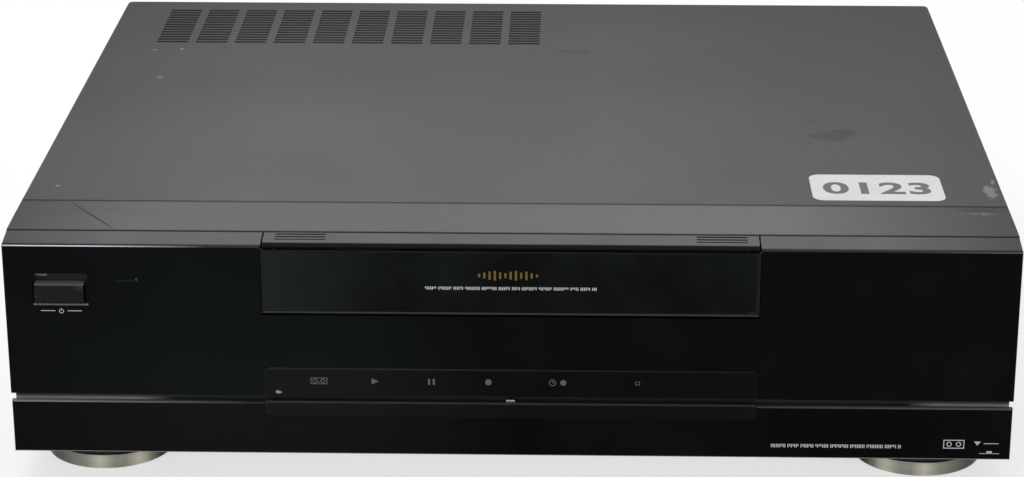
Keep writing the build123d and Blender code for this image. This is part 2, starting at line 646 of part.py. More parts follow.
def lower_drum():
    """Fixed lower drum with the tape edge ledge and the centre shaft, on a cast foot."""
    tilted = Pos(0, 0, 9) * Cylinder(DRUM_RADIUS - 0.3, 14) + Pos(0, 0, 2) * Cylinder(DRUM_RADIUS + 1.2, 4)
    tilted = tilted + Pos(0, 0, 19) * Cylinder(2.0, 38)
    foot = block(-22, 22, DRUM_Y - 18, DRUM_Y + 18, DECK_Z[1], DRUM_Z + 1.5)
    foot = foot + block(-34, 34, DRUM_Y + 6, DRUM_Y + 18, DECK_Z[1], DECK_Z[1] + 2.5)
    return drum_plane() * tilted + foot


def head_drum():
    """Turning upper drum with two head windows and the motor's rotor on top."""
    drum = Pos(0, 0, 25.15) * Cylinder(DRUM_RADIUS, 17.7)
    drum = drum + Pos(0, 0, 35.5) * Cylinder(22.0, 4.0)
    for turn in (20, 200):
        drum = drum - Rot(0, 0, turn) * Pos(DRUM_RADIUS, 0, 17.0) * Box(4.0, 5.0, 3.0)
    return drum_plane() * (drum - Pos(0, 0, 25) * Cylinder(2.05, 40))


def capstan():
    """Capstan shaft with its flywheel under the deck plate."""
    x, y = CAPSTAN
    return prism_z(x, y, 25, 34, 24.0, 36) + rod_z(x, y, 24, 72, 2.0)


def capstan_bearing():
    """Bearing sleeve with a square flange that holds the capstan upright, below the pinch roller."""
    x, y = CAPSTAN
    sleeve = prism_z(x, y, 36, 47.0, 3.8, 16) + block(x - 7, x + 7, y - 7, y + 7, DECK_Z[1], DECK_Z[1] + 2)
    return sleeve - rod_z(x, y, 35, 53, 2.05)


def pinch_arm():
    """Swinging arm with the pinch roller's axle."""
    px, py = PINCH_PIVOT
    rx, ry = PINCH_ROLLER
    long = math.hypot(rx - px, ry - py)
    turn = math.degrees(math.atan2(ry - py, rx - px))
    bar = Pos((px + rx) / 2, (py + ry) / 2, 68.5) * Rot(0, 0, turn) * Box(long + 6, 7, 2.5)
    arm = bar + prism_z(px, py, 44, 71, 4.5, 16) + rod_z(rx, ry, 46.5, 68, 1.5)
    return arm - rod_z(px, py, 43, 72, 2.55)


def pinch_roller():
    """Rubber roller that presses the tape to the capstan."""
    x, y = PINCH_ROLLER
    return rod_z(x, y, 48, 66, 6.5) - rod_z(x, y, 47, 67, 1.55)


def tape_guide(sign):
    """Guide carriage: foot in the deck's track, roller post and slanted post."""
    x = sign * GUIDE_START[0]
    y = GUIDE_START[1]
    turn = math.degrees(math.atan2(GUIDE_END[1] - GUIDE_START[1],
                                   sign * (GUIDE_END[0] - GUIDE_START[0])))
    foot = Pos(x, y, 44.3) * Rot(0, 0, turn) * Box(17, 11, 4.6)
    foot = foot + Pos(x, y, 40.7) * Rot(0, 0, turn) * Box(7, 5.0, 3.0)
    foot = foot + Pos(x, y, 38.6) * Rot(0, 0, turn) * Box(12, 9, 1.6)
    roller = prism_z(x, y, 46, 68, 3.0) + prism_z(x, y, 66, 68, 3.8) + prism_z(x, y, 47, 48.5, 3.8)
    slant = Pos(x, y, 46) * Rot(0, 0, turn) * Pos(-5.6, 0, 0) * Rot(0, -12, 0) * Pos(0, 0, 9) * prism(1.4, 20)
    return foot + roller + slant


def tape_heads():
    """Full-width erase head on the left, audio and control head on the right."""
    erase = block(-64, -52, 37, 45, DECK_Z[1], 60) + block(-61, -55, 35, 38, 46, 60)
    audio = block(52, 63, 46, 54, DECK_Z[1], 64) + block(54, 61, 44, 47, 47, 62)
    return erase + audio


def deck_pins():
    """Fixed steel posts: two under the reel tables, one for the pinch arm, three that turn the tape."""
    posts = [rod_z(side * REEL_X, REEL_Y, DECK_Z[1], 64.5, 1.5) for side in (-1, 1)]
    posts.append(rod_z(PINCH_PIVOT[0], PINCH_PIVOT[1], DECK_Z[1], 73, 2.5))
    for x, y in ((-64, 20), (76, 18), (-48, 20)):
        posts.append(prism_z(x, y, DECK_Z[1], 66, 2.0) + prism_z(x, y, 64, 66, 3.4))
    return join(posts)


def loading_motor():
    """Motor that loads the cassette, in its cradle on the deck."""
    return prism_y(-114, 56, 34, 66, 11.0, 24) + block(-124, -104, 36, 64, DECK_Z[1], 47)


# ---------------------------------------------------------------- electronics and sockets

def chassis_boards():
    """Main circuit board along the right side and the back, power board on the left, all on posts."""
    parts = [block(110, 208, -150, 170, 26, 27.6) + block(-122, 112, 110, 170, 26, 27.6)]
    parts.append(block(-208, -134, 36, 152, 26, 27.6))
    places = [(118, -142), (200, -142), (118, 60), (200, 60), (-114, 162), (200, 162)]
    places += [(x, y) for x in (-202, -140) for y in (42, 146)]
    parts += [prism_z(x, y, BASE_Z + STEEL, 26, 3.2, 6) for x, y in places]
    return join(parts)


def board_chips():
    """Flat chips and shielding cans on the main board."""
    chips = []
    for x, y, w, d in ((124, -126, 34, 14), (168, -120, 26, 26), (130, -84, 18, 30), (166, -76, 30, 12),
                       (122, -30, 40, 16), (172, -34, 24, 24), (128, 10, 14, 34), (160, 8, 36, 14),
                       (-110, 124, 30, 12), (8, 120, 20, 20), (60, 116, 34, 12)):
        chips.append(block(x, x + w, y, y + d, 27.6, 31.4))
    cans = [block(120, 160, 84, 110, 27.6, 46), block(-60, -20, 116, 142, 27.6, 44)]
    return join(chips + cans)


def capacitors():
    """Upright electrolytic capacitors: four large ones in the power supply, small ones on the main board."""
    cans = [prism_z(x, y, 27.6, 58, 8.0) for x in (-176, -156) for y in (56, 76)]
    for row in range(2):
        for column in range(3):
            cans.append(prism_z(180 + column * 10, 36 + row * 13, 27.6, 39, 3.2))
    for x, y in ((154, -60), (163.5, -58), (116, 40), (-80, 144), (-92, 144)):
        cans.append(prism_z(x, y, 27.6, 42, 4.2))
    return join(cans)


def transformer():
    """Mains transformer: laminated core, wound bobbin between its limbs."""
    core = block(-198, -146, 96, 134, 27.6, 72)
    core = core - block(-189, -176, 95, 135, 36, 64) - block(-168, -155, 95, 135, 36, 64)
    bobbin = block(-188.5, -155.5, 88, 142, 37, 63) - block(-176.1, -167.9, 87, 143, 35, 65)
    return core + bobbin


def heat_sink():
    """Finned aluminium heat sink beside the transformer."""
    spine = block(-206, -203, 40, 90, 27.6, 70)
    fins = [block(-203, -190, 40 + i * 6.0, 41.6 + i * 6.0, 27.6, 70) for i in range(9)]
    return join([spine] + fins)


def tuner():
    """Screened tuner box with its aerial input and output sockets."""
    box = block(136, 192, 122, 174.6, 27.6, 66)
    parts = [box - [block(x, x + 2, 121, 175, 65, 67) for x in (150, 176)]]
    for x in AERIAL_X:
        parts.append(prism_y(x, AERIAL_Z, 174.6, SOCKET_REAR_Y, 5.8, 16) - rod_y(x, AERIAL_Z, 178, 190, 4.75))
        parts.append(prism_y(x, AERIAL_Z, 177, 185, 1.1))
    return join(parts)


def scart_sockets():
    """Two 21-pin sockets, each a shallow D-shaped well with two long contact slots."""
    sockets = []
    for x in SCART_X:
        shell = rear_profile(scart_outline(x, SCART_Z, 1.4), 160, 177.8)
        well = rear_profile(scart_outline(x, SCART_Z, 0), 170.5, 179)
        slots = [block(x - 18.5, x + 18.5, 166, 171, SCART_Z + z, SCART_Z + z + 2.4) for z in (-4.2, 1.4)]
        leg = block(x - 20, x + 20, 162, 172, 27.6, SCART_Z - 8)
        sockets.append(shell - well - slots + leg)
    return join(sockets)


def phono_jacks():
    """Four phono jacks on a block at the rear, and three more for a camera behind the lower door."""
    face = PANEL_REAR_Y[1] + 0.7
    rear = block(PHONO_X[0] - 9, PHONO_X[-1] + 9, 164, face, PHONO_Z[0] - 9, PHONO_Z[-1] + 9)
    solids = [rear + block(PHONO_X[0] - 9, PHONO_X[-1] + 9, 160, 174.8, 27.6, PHONO_Z[-1])]
    for x in PHONO_X:
        for z in PHONO_Z:
            solids.append(prism_y(x, z, face, SOCKET_REAR_Y, 4.15, 16) - jack_bore(x, z, SOCKET_REAR_Y, 1))
    for x in FRONT_JACK_X:
        base = block(x - 7, x + 7, -174.4, -169.0, CONTROL_Z - 7, CONTROL_Z + 7)
        barrel = prism_y(x, CONTROL_Z, -180.0, -174.4, 4.15, 16)
        solids.append(base + barrel - jack_bore(x, CONTROL_Z, -180.0, -1))
    return Compound(children=solids)


def mains_inlet():
    """Two-pin mains inlet for a loose cord: figure-of-eight well with two round pins."""
    flange = block(INLET_X - 17, INLET_X + 17, PANEL_REAR_Y[1] + 0.1, 178.6, INLET_Z - 12, INLET_Z + 12)
    body = block(INLET_X - 14.6, INLET_X + 14.6, 154, 177, INLET_Z - 9.6, INLET_Z + 9.6)
    well = block(INLET_X - 6, INLET_X + 6, 161, 180, INLET_Z - 4.4, INLET_Z + 4.4)
    for side in (-6, 6):
        well = well + rod_y(INLET_X + side, INLET_Z, 161, 180, 4.4)
    pins = [rod_y(INLET_X + side, INLET_Z, 160, 175, 1.2) for side in (-4.3, 4.3)]
    return join([flange + body - well] + pins)


PARTS = {
    "top_cover": top_cover,
    "cover_label": cover_label,
    "bottom_chassis": bottom_chassis,
    "rear_panel": rear_panel,
    "cover_screws": cover_screws,
    "foot_rings": foot_rings,
    "foot_bodies": foot_bodies,
    "foot_pads": foot_pads,
    "front_plate": front_plate,
    "front_fascia": front_fascia,
    "fascia_top_moulding": fascia_top_moulding,
    "display_lens": display_lens,
    "door_lens": door_lens,
    "door_catch": door_catch,
    "control_door": control_door,
    "cassette_door": cassette_door,
    "front_hinge_pins": front_hinge_pins,
    "trim_strip": trim_strip,
    "power_button": power_button,
    "power_lamp": power_lamp,
    "control_panel": control_panel,
    "tracking_knob": tracking_knob,
    "jog_dial": jog_dial,
    "level_slider": level_slider,
    "display_tube": display_tube,
    "front_boards": front_boards,
    "deck_plate": deck_plate,
    "deck_posts": deck_posts,
    "machine_screws": machine_screws,
    "deck_brackets": deck_brackets,
    "cassette_sledge": cassette_sledge,
    "cassette_carrier": cassette_carrier,
    "lower_drum": lower_drum,
    "head_drum": head_drum,
    "capstan": capstan,
    "capstan_bearing": capstan_bearing,
    "pinch_arm": pinch_arm,
    "pinch_roller": pinch_roller,
    "tape_heads": tape_heads,
    "deck_pins": deck_pins,
    "loading_motor": loading_motor,
    "chassis_boards": chassis_boards,
    "board_chips": board_chips,
    "capacitors": capacitors,
    "transformer": transformer,
    "heat_sink": heat_sink,
    "tuner": tuner,
    "scart_sockets": scart_sockets,
    "phono_jacks": phono_jacks,
    "mains_inlet": mains_inlet,
}

for node, make in PARTS.items():
    export_step(make(), "parts/" + node + ".step")
for name in KEY_X:
    export_step(key(name), "parts/key_" + name + ".step")
for side, sign in (("left", -1), ("right", 1)):
    export_step(reel_table(sign), "parts/reel_table_" + side + ".step")
    export_step(tape_guide(sign), "parts/tape_guide_" + side + ".step")
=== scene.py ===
import math
import random
import bmesh
import bpy
from mathutils import Matrix, Vector


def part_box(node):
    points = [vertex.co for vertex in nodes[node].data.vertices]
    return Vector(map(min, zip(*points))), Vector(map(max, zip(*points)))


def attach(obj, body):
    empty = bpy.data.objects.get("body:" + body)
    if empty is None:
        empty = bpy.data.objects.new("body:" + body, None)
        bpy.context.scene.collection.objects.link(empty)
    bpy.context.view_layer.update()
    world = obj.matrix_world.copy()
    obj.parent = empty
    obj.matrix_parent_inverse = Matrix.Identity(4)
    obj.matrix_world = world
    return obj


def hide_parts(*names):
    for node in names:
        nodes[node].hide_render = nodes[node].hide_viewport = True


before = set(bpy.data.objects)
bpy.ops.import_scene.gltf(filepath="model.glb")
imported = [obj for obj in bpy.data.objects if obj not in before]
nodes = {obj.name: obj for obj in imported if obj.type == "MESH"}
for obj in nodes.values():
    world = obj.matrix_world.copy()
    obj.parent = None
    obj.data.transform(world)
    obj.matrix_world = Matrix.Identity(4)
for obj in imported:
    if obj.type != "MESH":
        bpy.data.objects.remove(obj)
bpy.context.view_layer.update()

scene = bpy.context.scene
scene.view_settings.view_transform = "Standard"

# ------------------------------------------------------------------ studio
# A white sweep of painted board under the recorder, one wide soft lamp overhead, and a long lens
# set about a metre in front of it and half a metre up.
MM = 0.001


def add(tree, kind, feeds=None, **settings):
    """Adds one node. feeds gives each input a value, an output, or a node for its first live output."""
    made = tree.nodes.new(kind)
    for name, value in settings.items():
        setattr(made, name, value)
    for name, value in (feeds or {}).items():
        if isinstance(value, bpy.types.Node):
            value = next(socket for socket in value.outputs if socket.enabled)
        if isinstance(value, bpy.types.NodeSocket):
            tree.links.new(value, made.inputs[name])
        else:
            made.inputs[name].default_value = value
    return made


CAMERA_AT = (0.0282, -1.3155, 0.5376)
CAMERA_YAW = -1.393
CAMERA_DOWN = 20.543
CAMERA_ROLL = -0.056
CAMERA_LENS = 101.15
SENSOR_WIDTH = 36

yaw, down, roll = (math.radians(a) for a in (CAMERA_YAW, CAMERA_DOWN, CAMERA_ROLL))
ahead = Vector((math.sin(yaw) * math.cos(down), math.cos(yaw) * math.cos(down), -math.sin(down)))
level = Vector((math.cos(yaw), -math.sin(yaw), 0))
upward = level.cross(ahead)
right = level * math.cos(roll) + upward * math.sin(roll)
upward = upward * math.cos(roll) - level * math.sin(roll)
camera = bpy.data.objects.new("camera", bpy.data.cameras.new("camera"))
camera.data.lens = CAMERA_LENS
camera.data.sensor_width = SENSOR_WIDTH
camera.matrix_world = Matrix.Translation(CAMERA_AT) @ Matrix((right, upward, -ahead)).transposed().to_4x4()
scene.collection.objects.link(camera)
scene.camera = camera

FLOOR_REACH = 6
FLOOR_DROP = 0.3 * MM
floor_mesh = bpy.data.meshes.new("floor")
corners = [(x * FLOOR_REACH, y * FLOOR_REACH, -FLOOR_DROP) for x, y in ((-1, -1), (1, -1), (1, 1), (-1, 1))]
floor_mesh.from_pydata(corners, [], [(0, 1, 2, 3)])
floor = bpy.data.objects.new("floor", floor_mesh)
scene.collection.objects.link(floor)


def seen_directly(tree):
    """One for a ray from the camera, a reflection or a view through glass, nought for plain light."""
    path = add(tree, "ShaderNodeLightPath").outputs
    bent = add(tree, "ShaderNodeMath", {0: path["Is Glossy Ray"], 1: path["Is Transmission Ray"]},
               operation="MAXIMUM")
    return add(tree, "ShaderNodeMath", {0: path["Is Camera Ray"], 1: bent}, operation="MAXIMUM")


# Painted board: matt white, lit a little from below so that shadows on it stay pale. What bounces
# to the recorder is a middle grey, as in a real room.
board_paint = bpy.data.materials.new("painted_board")
board_paint.use_nodes = True
tree = board_paint.node_tree
tree.nodes.clear()
white = add(tree, "ShaderNodeBsdfDiffuse", {"Color": (0.97, 0.97, 0.97, 1)})
glow = add(tree, "ShaderNodeEmission", {"Color": (1, 1, 1, 1), "Strength": 1.0})
GLOW_DISTANCE = (0.9, 2.5)
GLOW_SHARE = (0.65, 1.0)
away = add(tree, "ShaderNodeTexCoord").outputs["Object"]
away = add(tree, "ShaderNodeVectorMath", {0: away}, operation="LENGTH")
share = add(tree, "ShaderNodeMapRange", {0: away, 1: GLOW_DISTANCE[0], 2: GLOW_DISTANCE[1],
                                         3: GLOW_SHARE[0], 4: GLOW_SHARE[1]})
white = add(tree, "ShaderNodeMixShader", {0: share, 1: white, 2: glow})
grey = add(tree, "ShaderNodeBsdfDiffuse", {"Color": (0.45, 0.45, 0.45, 1)})
both = add(tree, "ShaderNodeMixShader", {0: seen_directly(tree), 1: grey, 2: white})
add(tree, "ShaderNodeOutputMaterial", {"Surface": both})
floor_mesh.materials.append(board_paint)

world = bpy.data.worlds.new("room")
scene.world = world
world.use_nodes = True
tree = world.node_tree
tree.nodes.clear()
lit = add(tree, "ShaderNodeBackground", {"Color": (1, 1, 1, 1), "Strength": 0.55})
shown = add(tree, "ShaderNodeBackground", {"Color": (1, 1, 1, 1), "Strength": 1.0})
both = add(tree, "ShaderNodeMixShader", {0: seen_directly(tree), 1: lit, 2: shown})
add(tree, "ShaderNodeOutputWorld", {"Surface": both})


def lamp(name, place, aim, width, depth, power):
    """A soft rectangular lamp that points at a place."""
    data = bpy.data.lights.new(name, "AREA")
    data.shape = "RECTANGLE"
    data.size, data.size_y, data.energy = width, depth, power
    holder = bpy.data.objects.new(name, data)
    holder.location = place
    holder.rotation_euler = (Vector(aim) - Vector(place)).to_track_quat("-Z", "Y").to_euler()
    scene.collection.objects.link(holder)


lamp("overhead_lamp", place=(-0.3, 0.2, 2.2), aim=(0, 0, 0.1), width=2.4, depth=1.8, power=29)
lamp("front_lamp", place=(-0.5, -2.4, 0.9), aim=(0, 0, 0.05), width=2.2, depth=1.2, power=16)

# ------------------------------------------------------------------ chassis and deck sheet metal
# The bottom tray, deck plate, pillars, brackets, carrier and pinch arm are pressed from mild steel,
# bright zinc plated. Plating leaves a pale blue-grey metal with small, soft-edged crystals.


def linear(code):
    """A hex sRGB colour as linear red, green, blue and an alpha of one."""
    parts = [int(code[i:i + 2], 16) / 255 for i in (0, 2, 4)]
    return tuple(p / 12.92 if p <= 0.04045 else ((p + 0.055) / 1.055) ** 2.4 for p in parts) + (1.0,)


def start(name):
    """A new material: itself, its empty tree, and the object's own coordinates in metres."""
    made = bpy.data.materials.new(name)
    made.use_nodes = True
    made.node_tree.nodes.clear()
    place = add(made.node_tree, "ShaderNodeTexCoord").outputs["Object"]
    return made, made.node_tree, place


# Curved faces arrive as flat facets: the loose triangles are merged and only the edges sharper than
# the limit stay hard.
SAME_POINT = 0.002 * MM
soft_facets = bpy.data.node_groups.new("soft_facets", "GeometryNodeTree")
soft_facets.interface.new_socket("Geometry", in_out="INPUT", socket_type="NodeSocketGeometry")
limit = soft_facets.interface.new_socket("Hard edge", in_out="INPUT", socket_type="NodeSocketFloat")
limit.default_value = math.radians(28)
soft_facets.interface.new_socket("Geometry", in_out="OUTPUT", socket_type="NodeSocketGeometry")
enter = add(soft_facets, "NodeGroupInput")
merged = add(soft_facets, "GeometryNodeMergeByDistance", {"Geometry": enter, "Distance": SAME_POINT})
bend = add(soft_facets, "GeometryNodeInputMeshEdgeAngle")
hard = add(soft_facets, "FunctionNodeCompare", {0: bend, 1: enter.outputs[1]}, data_type="FLOAT",
           operation="GREATER_THAN")
soft = add(soft_facets, "GeometryNodeSetShadeSmooth", {"Geometry": merged}, domain="FACE")
sharp = add(soft_facets, "GeometryNodeSetShadeSmooth",
            {"Geometry": soft, "Selection": hard, "Shade Smooth": False}, domain="EDGE")
add(soft_facets, "NodeGroupOutput", {0: sharp})


def dress(material, *names):
    """Gives CAD nodes a material and soft shading across their facets."""
    for name in names:
        piece = nodes[name]
        piece.data.materials.clear()
        piece.data.materials.append(material)
        smooth = piece.modifiers.new("soft_facets", "NODES")
        smooth.node_group = soft_facets


zinc, tree, place = start("zinc_plated_steel")
crystals = add(tree, "ShaderNodeTexVoronoi", {"Vector": place, "Scale": 1 / (3.5 * MM)})
haze = add(tree, "ShaderNodeTexNoise", {"Vector": place, "Scale": 1 / (40 * MM), "Detail": 4.0})
tone = add(tree, "ShaderNodeMath", {0: crystals, 1: haze}, operation="MULTIPLY")
colour = add(tree, "ShaderNodeMix", {0: tone, 6: linear("B9BDC0"), 7: linear("7D8284")}, data_type="RGBA")
rough = add(tree, "ShaderNodeMapRange", {0: haze, 1: 0.3, 2: 0.7, 3: 0.28, 4: 0.46})
skin = add(tree, "ShaderNodeBsdfPrincipled", {"Base Color": colour, "Metallic": 1.0, "Roughness": rough})
add(tree, "ShaderNodeOutputMaterial", {0: skin})
dress(zinc, "bottom_chassis", "deck_plate", "deck_posts", "deck_brackets", "cassette_carrier", "pinch_arm")

# ------------------------------------------------------------------ feet
# Each foot is a black moulded neck on a turned aluminium ring with a warm silver anodised finish
# and fine turning marks. Its two bright bands are a painted reflection, set by the way each face
# turns, and its darker flanks and upward faces are painted shade. A rubber insert inside the ring
# grips the shelf.


def grow(name, places, group, **inputs):
    """Runs a geometry tree on a cloud of points and keeps the result as a plain mesh."""
    cloud = bpy.data.meshes.new(name)
    cloud.from_pydata([tuple(p) for p in places], [], [])
    piece = bpy.data.objects.new(name, cloud)
    scene.collection.objects.link(piece)
    live = piece.modifiers.new(name, "NODES")
    live.node_group = group
    for item in group.interface.items_tree:
        key = item.name.replace(" ", "_").lower()
        if item.in_out == "INPUT" and key in inputs:
            live[item.identifier] = inputs[key]
    bpy.context.view_layer.update()
    plain = bpy.data.meshes.new_from_object(piece.evaluated_get(bpy.context.evaluated_depsgraph_get()))
    piece.modifiers.remove(live)
    piece.data = plain
    return piece


def sockets(group, **kinds):
    """Gives a geometry tree its inputs, each a float, a vector or a material, and its output."""
    group.interface.new_socket("Geometry", in_out="INPUT", socket_type="NodeSocketGeometry")
    for name, value in kinds.items():
        kind = "NodeSocketFloat"
        if value is None:
            kind = "NodeSocketMaterial"
        elif isinstance(value, tuple):
            kind = "NodeSocketVector"
        made = group.interface.new_socket(name.replace("_", " "), in_out="INPUT", socket_type=kind)
        if value is not None:
            made.default_value = value
    group.interface.new_socket("Geometry", in_out="OUTPUT", socket_type="NodeSocketGeometry")
    return add(group, "NodeGroupInput").outputs


def copies_of(group, shape, enter):
    """Ends a geometry tree: the shape, turned, on every point, as real geometry with its finish."""
    turned = add(group, "GeometryNodeTransform", {"Geometry": shape, "Rotation": enter["Turn"]})
    placed = add(group, "GeometryNodeInstanceOnPoints", {"Points": enter["Geometry"], "Instance": turned})
    solid = add(group, "GeometryNodeRealizeInstances", {0: placed})
    done = add(group, "GeometryNodeSetMaterial", {"Geometry": solid, "Material": enter["Finish"]})
    add(group, "NodeGroupOutput", {0: done})


spun, tree, place = start("turned_anodised_aluminium")
across, _, above = add(tree, "ShaderNodeSeparateXYZ", {0: place}).outputs
marks = add(tree, "ShaderNodeTexNoise", {"W": above, "Scale": 1 / (0.5 * MM)}, noise_dimensions="1D")
haze = add(tree, "ShaderNodeTexNoise", {"Vector": place, "Scale": 1 / (12 * MM), "Detail": 3.0})
own = add(tree, "ShaderNodeTexCoord").outputs["Normal"]
turn = add(tree, "ShaderNodeSeparateXYZ", {0: own}).outputs
side = add(tree, "ShaderNodeMath", {0: across}, operation="SIGN")
outward = add(tree, "ShaderNodeMath", {0: turn[0], 1: side}, operation="MULTIPLY")
forward = add(tree, "ShaderNodeMath", {0: turn[1], 1: -1}, operation="MULTIPLY")
turned = add(tree, "ShaderNodeMath", {0: outward, 1: forward}, operation="ARCTAN2")
turned = add(tree, "ShaderNodeMath", {0: turned, 1: math.radians(60), 2: math.radians(-60)},
             operation="WRAP")
colour = add(tree, "ShaderNodeMix", {0: haze, 6: linear("86867C"), 7: linear("96968A")}, data_type="RGBA")
# Turns in degrees of the painted highlight bands, and of the flanks painted dark as painted shade.
HIGHLIGHT_BAND_CENTRES = (2, -33)
HIGHLIGHT_BAND_EDGES = (1, 12.5)
SHADED_FLANKS = ((14, 53), (-40, -57))
for centre in HIGHLIGHT_BAND_CENTRES:
    off = add(tree, "ShaderNodeMath", {0: turned, 1: math.radians(centre)}, operation="SUBTRACT")
    off = add(tree, "ShaderNodeMath", {0: off}, operation="ABSOLUTE")
    first, last = (math.radians(a) for a in HIGHLIGHT_BAND_EDGES)
    in_highlight_band = add(tree, "ShaderNodeMapRange", {0: off, 1: first, 2: last, 3: 1, 4: 0})
    colour = add(tree, "ShaderNodeMix", {0: in_highlight_band, 6: colour, 7: linear("BCBAA8")}, data_type="RGBA")
for first, last in SHADED_FLANKS:
    shaded_flank = add(tree, "ShaderNodeMapRange", {0: turned, 1: math.radians(first), 2: math.radians(last)})
    colour = add(tree, "ShaderNodeMix", {0: shaded_flank, 6: colour, 7: linear("32322F")}, data_type="RGBA")
# Painted shade: the upward faces of the ring are darker.
shaded_upper_face = add(tree, "ShaderNodeMapRange", {0: turn[2], 1: 0.03, 2: 0.35})
colour = add(tree, "ShaderNodeMix", {0: shaded_upper_face, 6: colour, 7: linear("484845")}, data_type="RGBA")
rough = add(tree, "ShaderNodeMapRange", {0: marks, 1: 0.3, 2: 0.7, 3: 0.20, 4: 0.34})
bump = add(tree, "ShaderNodeBump", {"Height": marks, "Strength": 0.3, "Distance": 0.03 * MM})
skin = add(tree, "ShaderNodeBsdfPrincipled",
           {"Base Color": colour, "Metallic": 1.0, "Roughness": rough, "Normal": bump})
add(tree, "ShaderNodeOutputMaterial", {0: skin})

turned_ring = bpy.data.node_groups.new("turned_ring", "GeometryNodeTree")
enter = sockets(turned_ring, Outer_radius=28.5 * MM, Inner_radius=20.4 * MM, Height=7 * MM,
                Edge_round=0.9 * MM, Turn=(0, 0, 0), Finish=None)
total, wall = (add(turned_ring, "ShaderNodeMath", {0: enter["Outer radius"], 1: enter["Inner radius"]},
                   operation=step) for step in ("ADD", "SUBTRACT"))
mean_radius = add(turned_ring, "ShaderNodeMath", {0: total, 1: 0.5}, operation="MULTIPLY")
path = add(turned_ring, "GeometryNodeCurvePrimitiveCircle", {"Resolution": 96, "Radius": mean_radius})
section = add(turned_ring, "GeometryNodeCurvePrimitiveQuadrilateral",
              {"Width": wall, "Height": enter["Height"]})
section = add(turned_ring, "GeometryNodeFilletCurve",
              {"Curve": section, "Count": 4, "Radius": enter["Edge round"]}, mode="POLY")
ring = add(turned_ring, "GeometryNodeCurveToMesh", {"Curve": path, "Profile Curve": section})
ring = add(turned_ring, "GeometryNodeSetShadeSmooth", {"Geometry": ring})
copies_of(turned_ring, ring, enter)

FOOT_RADIUS = 28.5 * MM
ring_low, ring_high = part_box("foot_rings")
middle = (ring_low.z + ring_high.z) / 2
places = [(x, y, middle) for x in (ring_low.x + FOOT_RADIUS, ring_high.x - FOOT_RADIUS)
          for y in (ring_low.y + FOOT_RADIUS, ring_high.y - FOOT_RADIUS)]
rings = grow("foot_ring_set", places, turned_ring, finish=spun, outer_radius=FOOT_RADIUS,
             height=ring_high.z - ring_low.z)
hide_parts("foot_rings")
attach(rings, "case")

# Moulded rubber is nearly black and matt, and it always holds a little dust.
rubber, tree, place = start("moulded_rubber")
dust = add(tree, "ShaderNodeTexNoise", {"Vector": place, "Scale": 1 / (2.5 * MM), "Detail": 5.0})
colour = add(tree, "ShaderNodeMix", {0: dust, 6: linear("161616"), 7: linear("2E2D2B")}, data_type="RGBA")
bump = add(tree, "ShaderNodeBump", {"Height": dust, "Strength": 0.3, "Distance": 0.1 * MM})
skin = add(tree, "ShaderNodeBsdfPrincipled",
           {"Base Color": colour, "Roughness": 0.82, "Specular IOR Level": 0.3, "Normal": bump})
add(tree, "ShaderNodeOutputMaterial", {0: skin})
dress(rubber, "foot_pads", "pinch_roller")

# ------------------------------------------------------------------ screws
# Pressed steel pan heads with a cross recess. Those of the cover are black oxide, as are the hinge
# pins of the lid and the door, and those of the deck are zinc plated.
pan_screw = bpy.data.node_groups.new("pan_head_screw", "GeometryNodeTree")
enter = sockets(pan_screw, Head_radius=3.4 * MM, Head_height=1.4 * MM, Turn=(0, 0, 0), Finish=None)
low = add(pan_screw, "ShaderNodeMath", {0: enter["Head height"], 1: 0.45}, operation="MULTIPLY")
rim = add(pan_screw, "GeometryNodeMeshCylinder",
          {"Vertices": 40, "Radius": enter["Head radius"], "Depth": low})
half = add(pan_screw, "ShaderNodeMath", {0: low, 1: 0.5}, operation="MULTIPLY")
lift = add(pan_screw, "ShaderNodeCombineXYZ", {2: half})
rim = add(pan_screw, "GeometryNodeTransform", {"Geometry": rim, "Translation": lift})
crown = add(pan_screw, "ShaderNodeMath", {0: enter["Head radius"], 1: 0.72}, operation="MULTIPLY")
rest = add(pan_screw, "ShaderNodeMath", {0: enter["Head height"], 1: 0.55}, operation="MULTIPLY")
dome = add(pan_screw, "GeometryNodeMeshCone",
           {"Vertices": 40, "Radius Bottom": enter["Head radius"], "Radius Top": crown, "Depth": rest})
lift = add(pan_screw, "ShaderNodeCombineXYZ", {2: low})
dome = add(pan_screw, "GeometryNodeTransform", {"Geometry": dome, "Translation": lift})
long = add(pan_screw, "ShaderNodeMath", {0: enter["Head radius"], 1: 1.05}, operation="MULTIPLY")
thin = add(pan_screw, "ShaderNodeMath", {0: enter["Head radius"], 1: 0.24}, operation="MULTIPLY")
lift = add(pan_screw, "ShaderNodeCombineXYZ", {2: enter["Head height"]})
for x_side, y_side in ((long, thin), (thin, long)):
    size = add(pan_screw, "ShaderNodeCombineXYZ", {0: x_side, 1: y_side, 2: enter["Head height"]})
    arm = add(pan_screw, "GeometryNodeMeshCube", {"Size": size})
    arm = add(pan_screw, "GeometryNodeTransform", {"Geometry": arm, "Translation": lift})
    dome = add(pan_screw, "GeometryNodeMeshBoolean", {0: dome, 1: arm}, operation="DIFFERENCE")
head = add(pan_screw, "GeometryNodeJoinGeometry", {0: rim})
pan_screw.links.new(dome.outputs[0], head.inputs[0])
copies_of(pan_screw, head, enter)

# Black oxide is a thin dark skin that rubs a little paler on the high spots.
black_oxide, tree, place = start("black_oxide_steel")
wear = add(tree, "ShaderNodeTexNoise", {"Vector": place, "Scale": 1 / (1.2 * MM), "Detail": 4.0})
colour = add(tree, "ShaderNodeMix", {0: wear, 6: linear("1B1B1C"), 7: linear("3A3A3C")}, data_type="RGBA")
skin = add(tree, "ShaderNodeBsdfPrincipled", {"Base Color": colour, "Metallic": 0.6, "Roughness": 0.42})
add(tree, "ShaderNodeOutputMaterial", {0: skin})
dress(black_oxide, "front_hinge_pins")

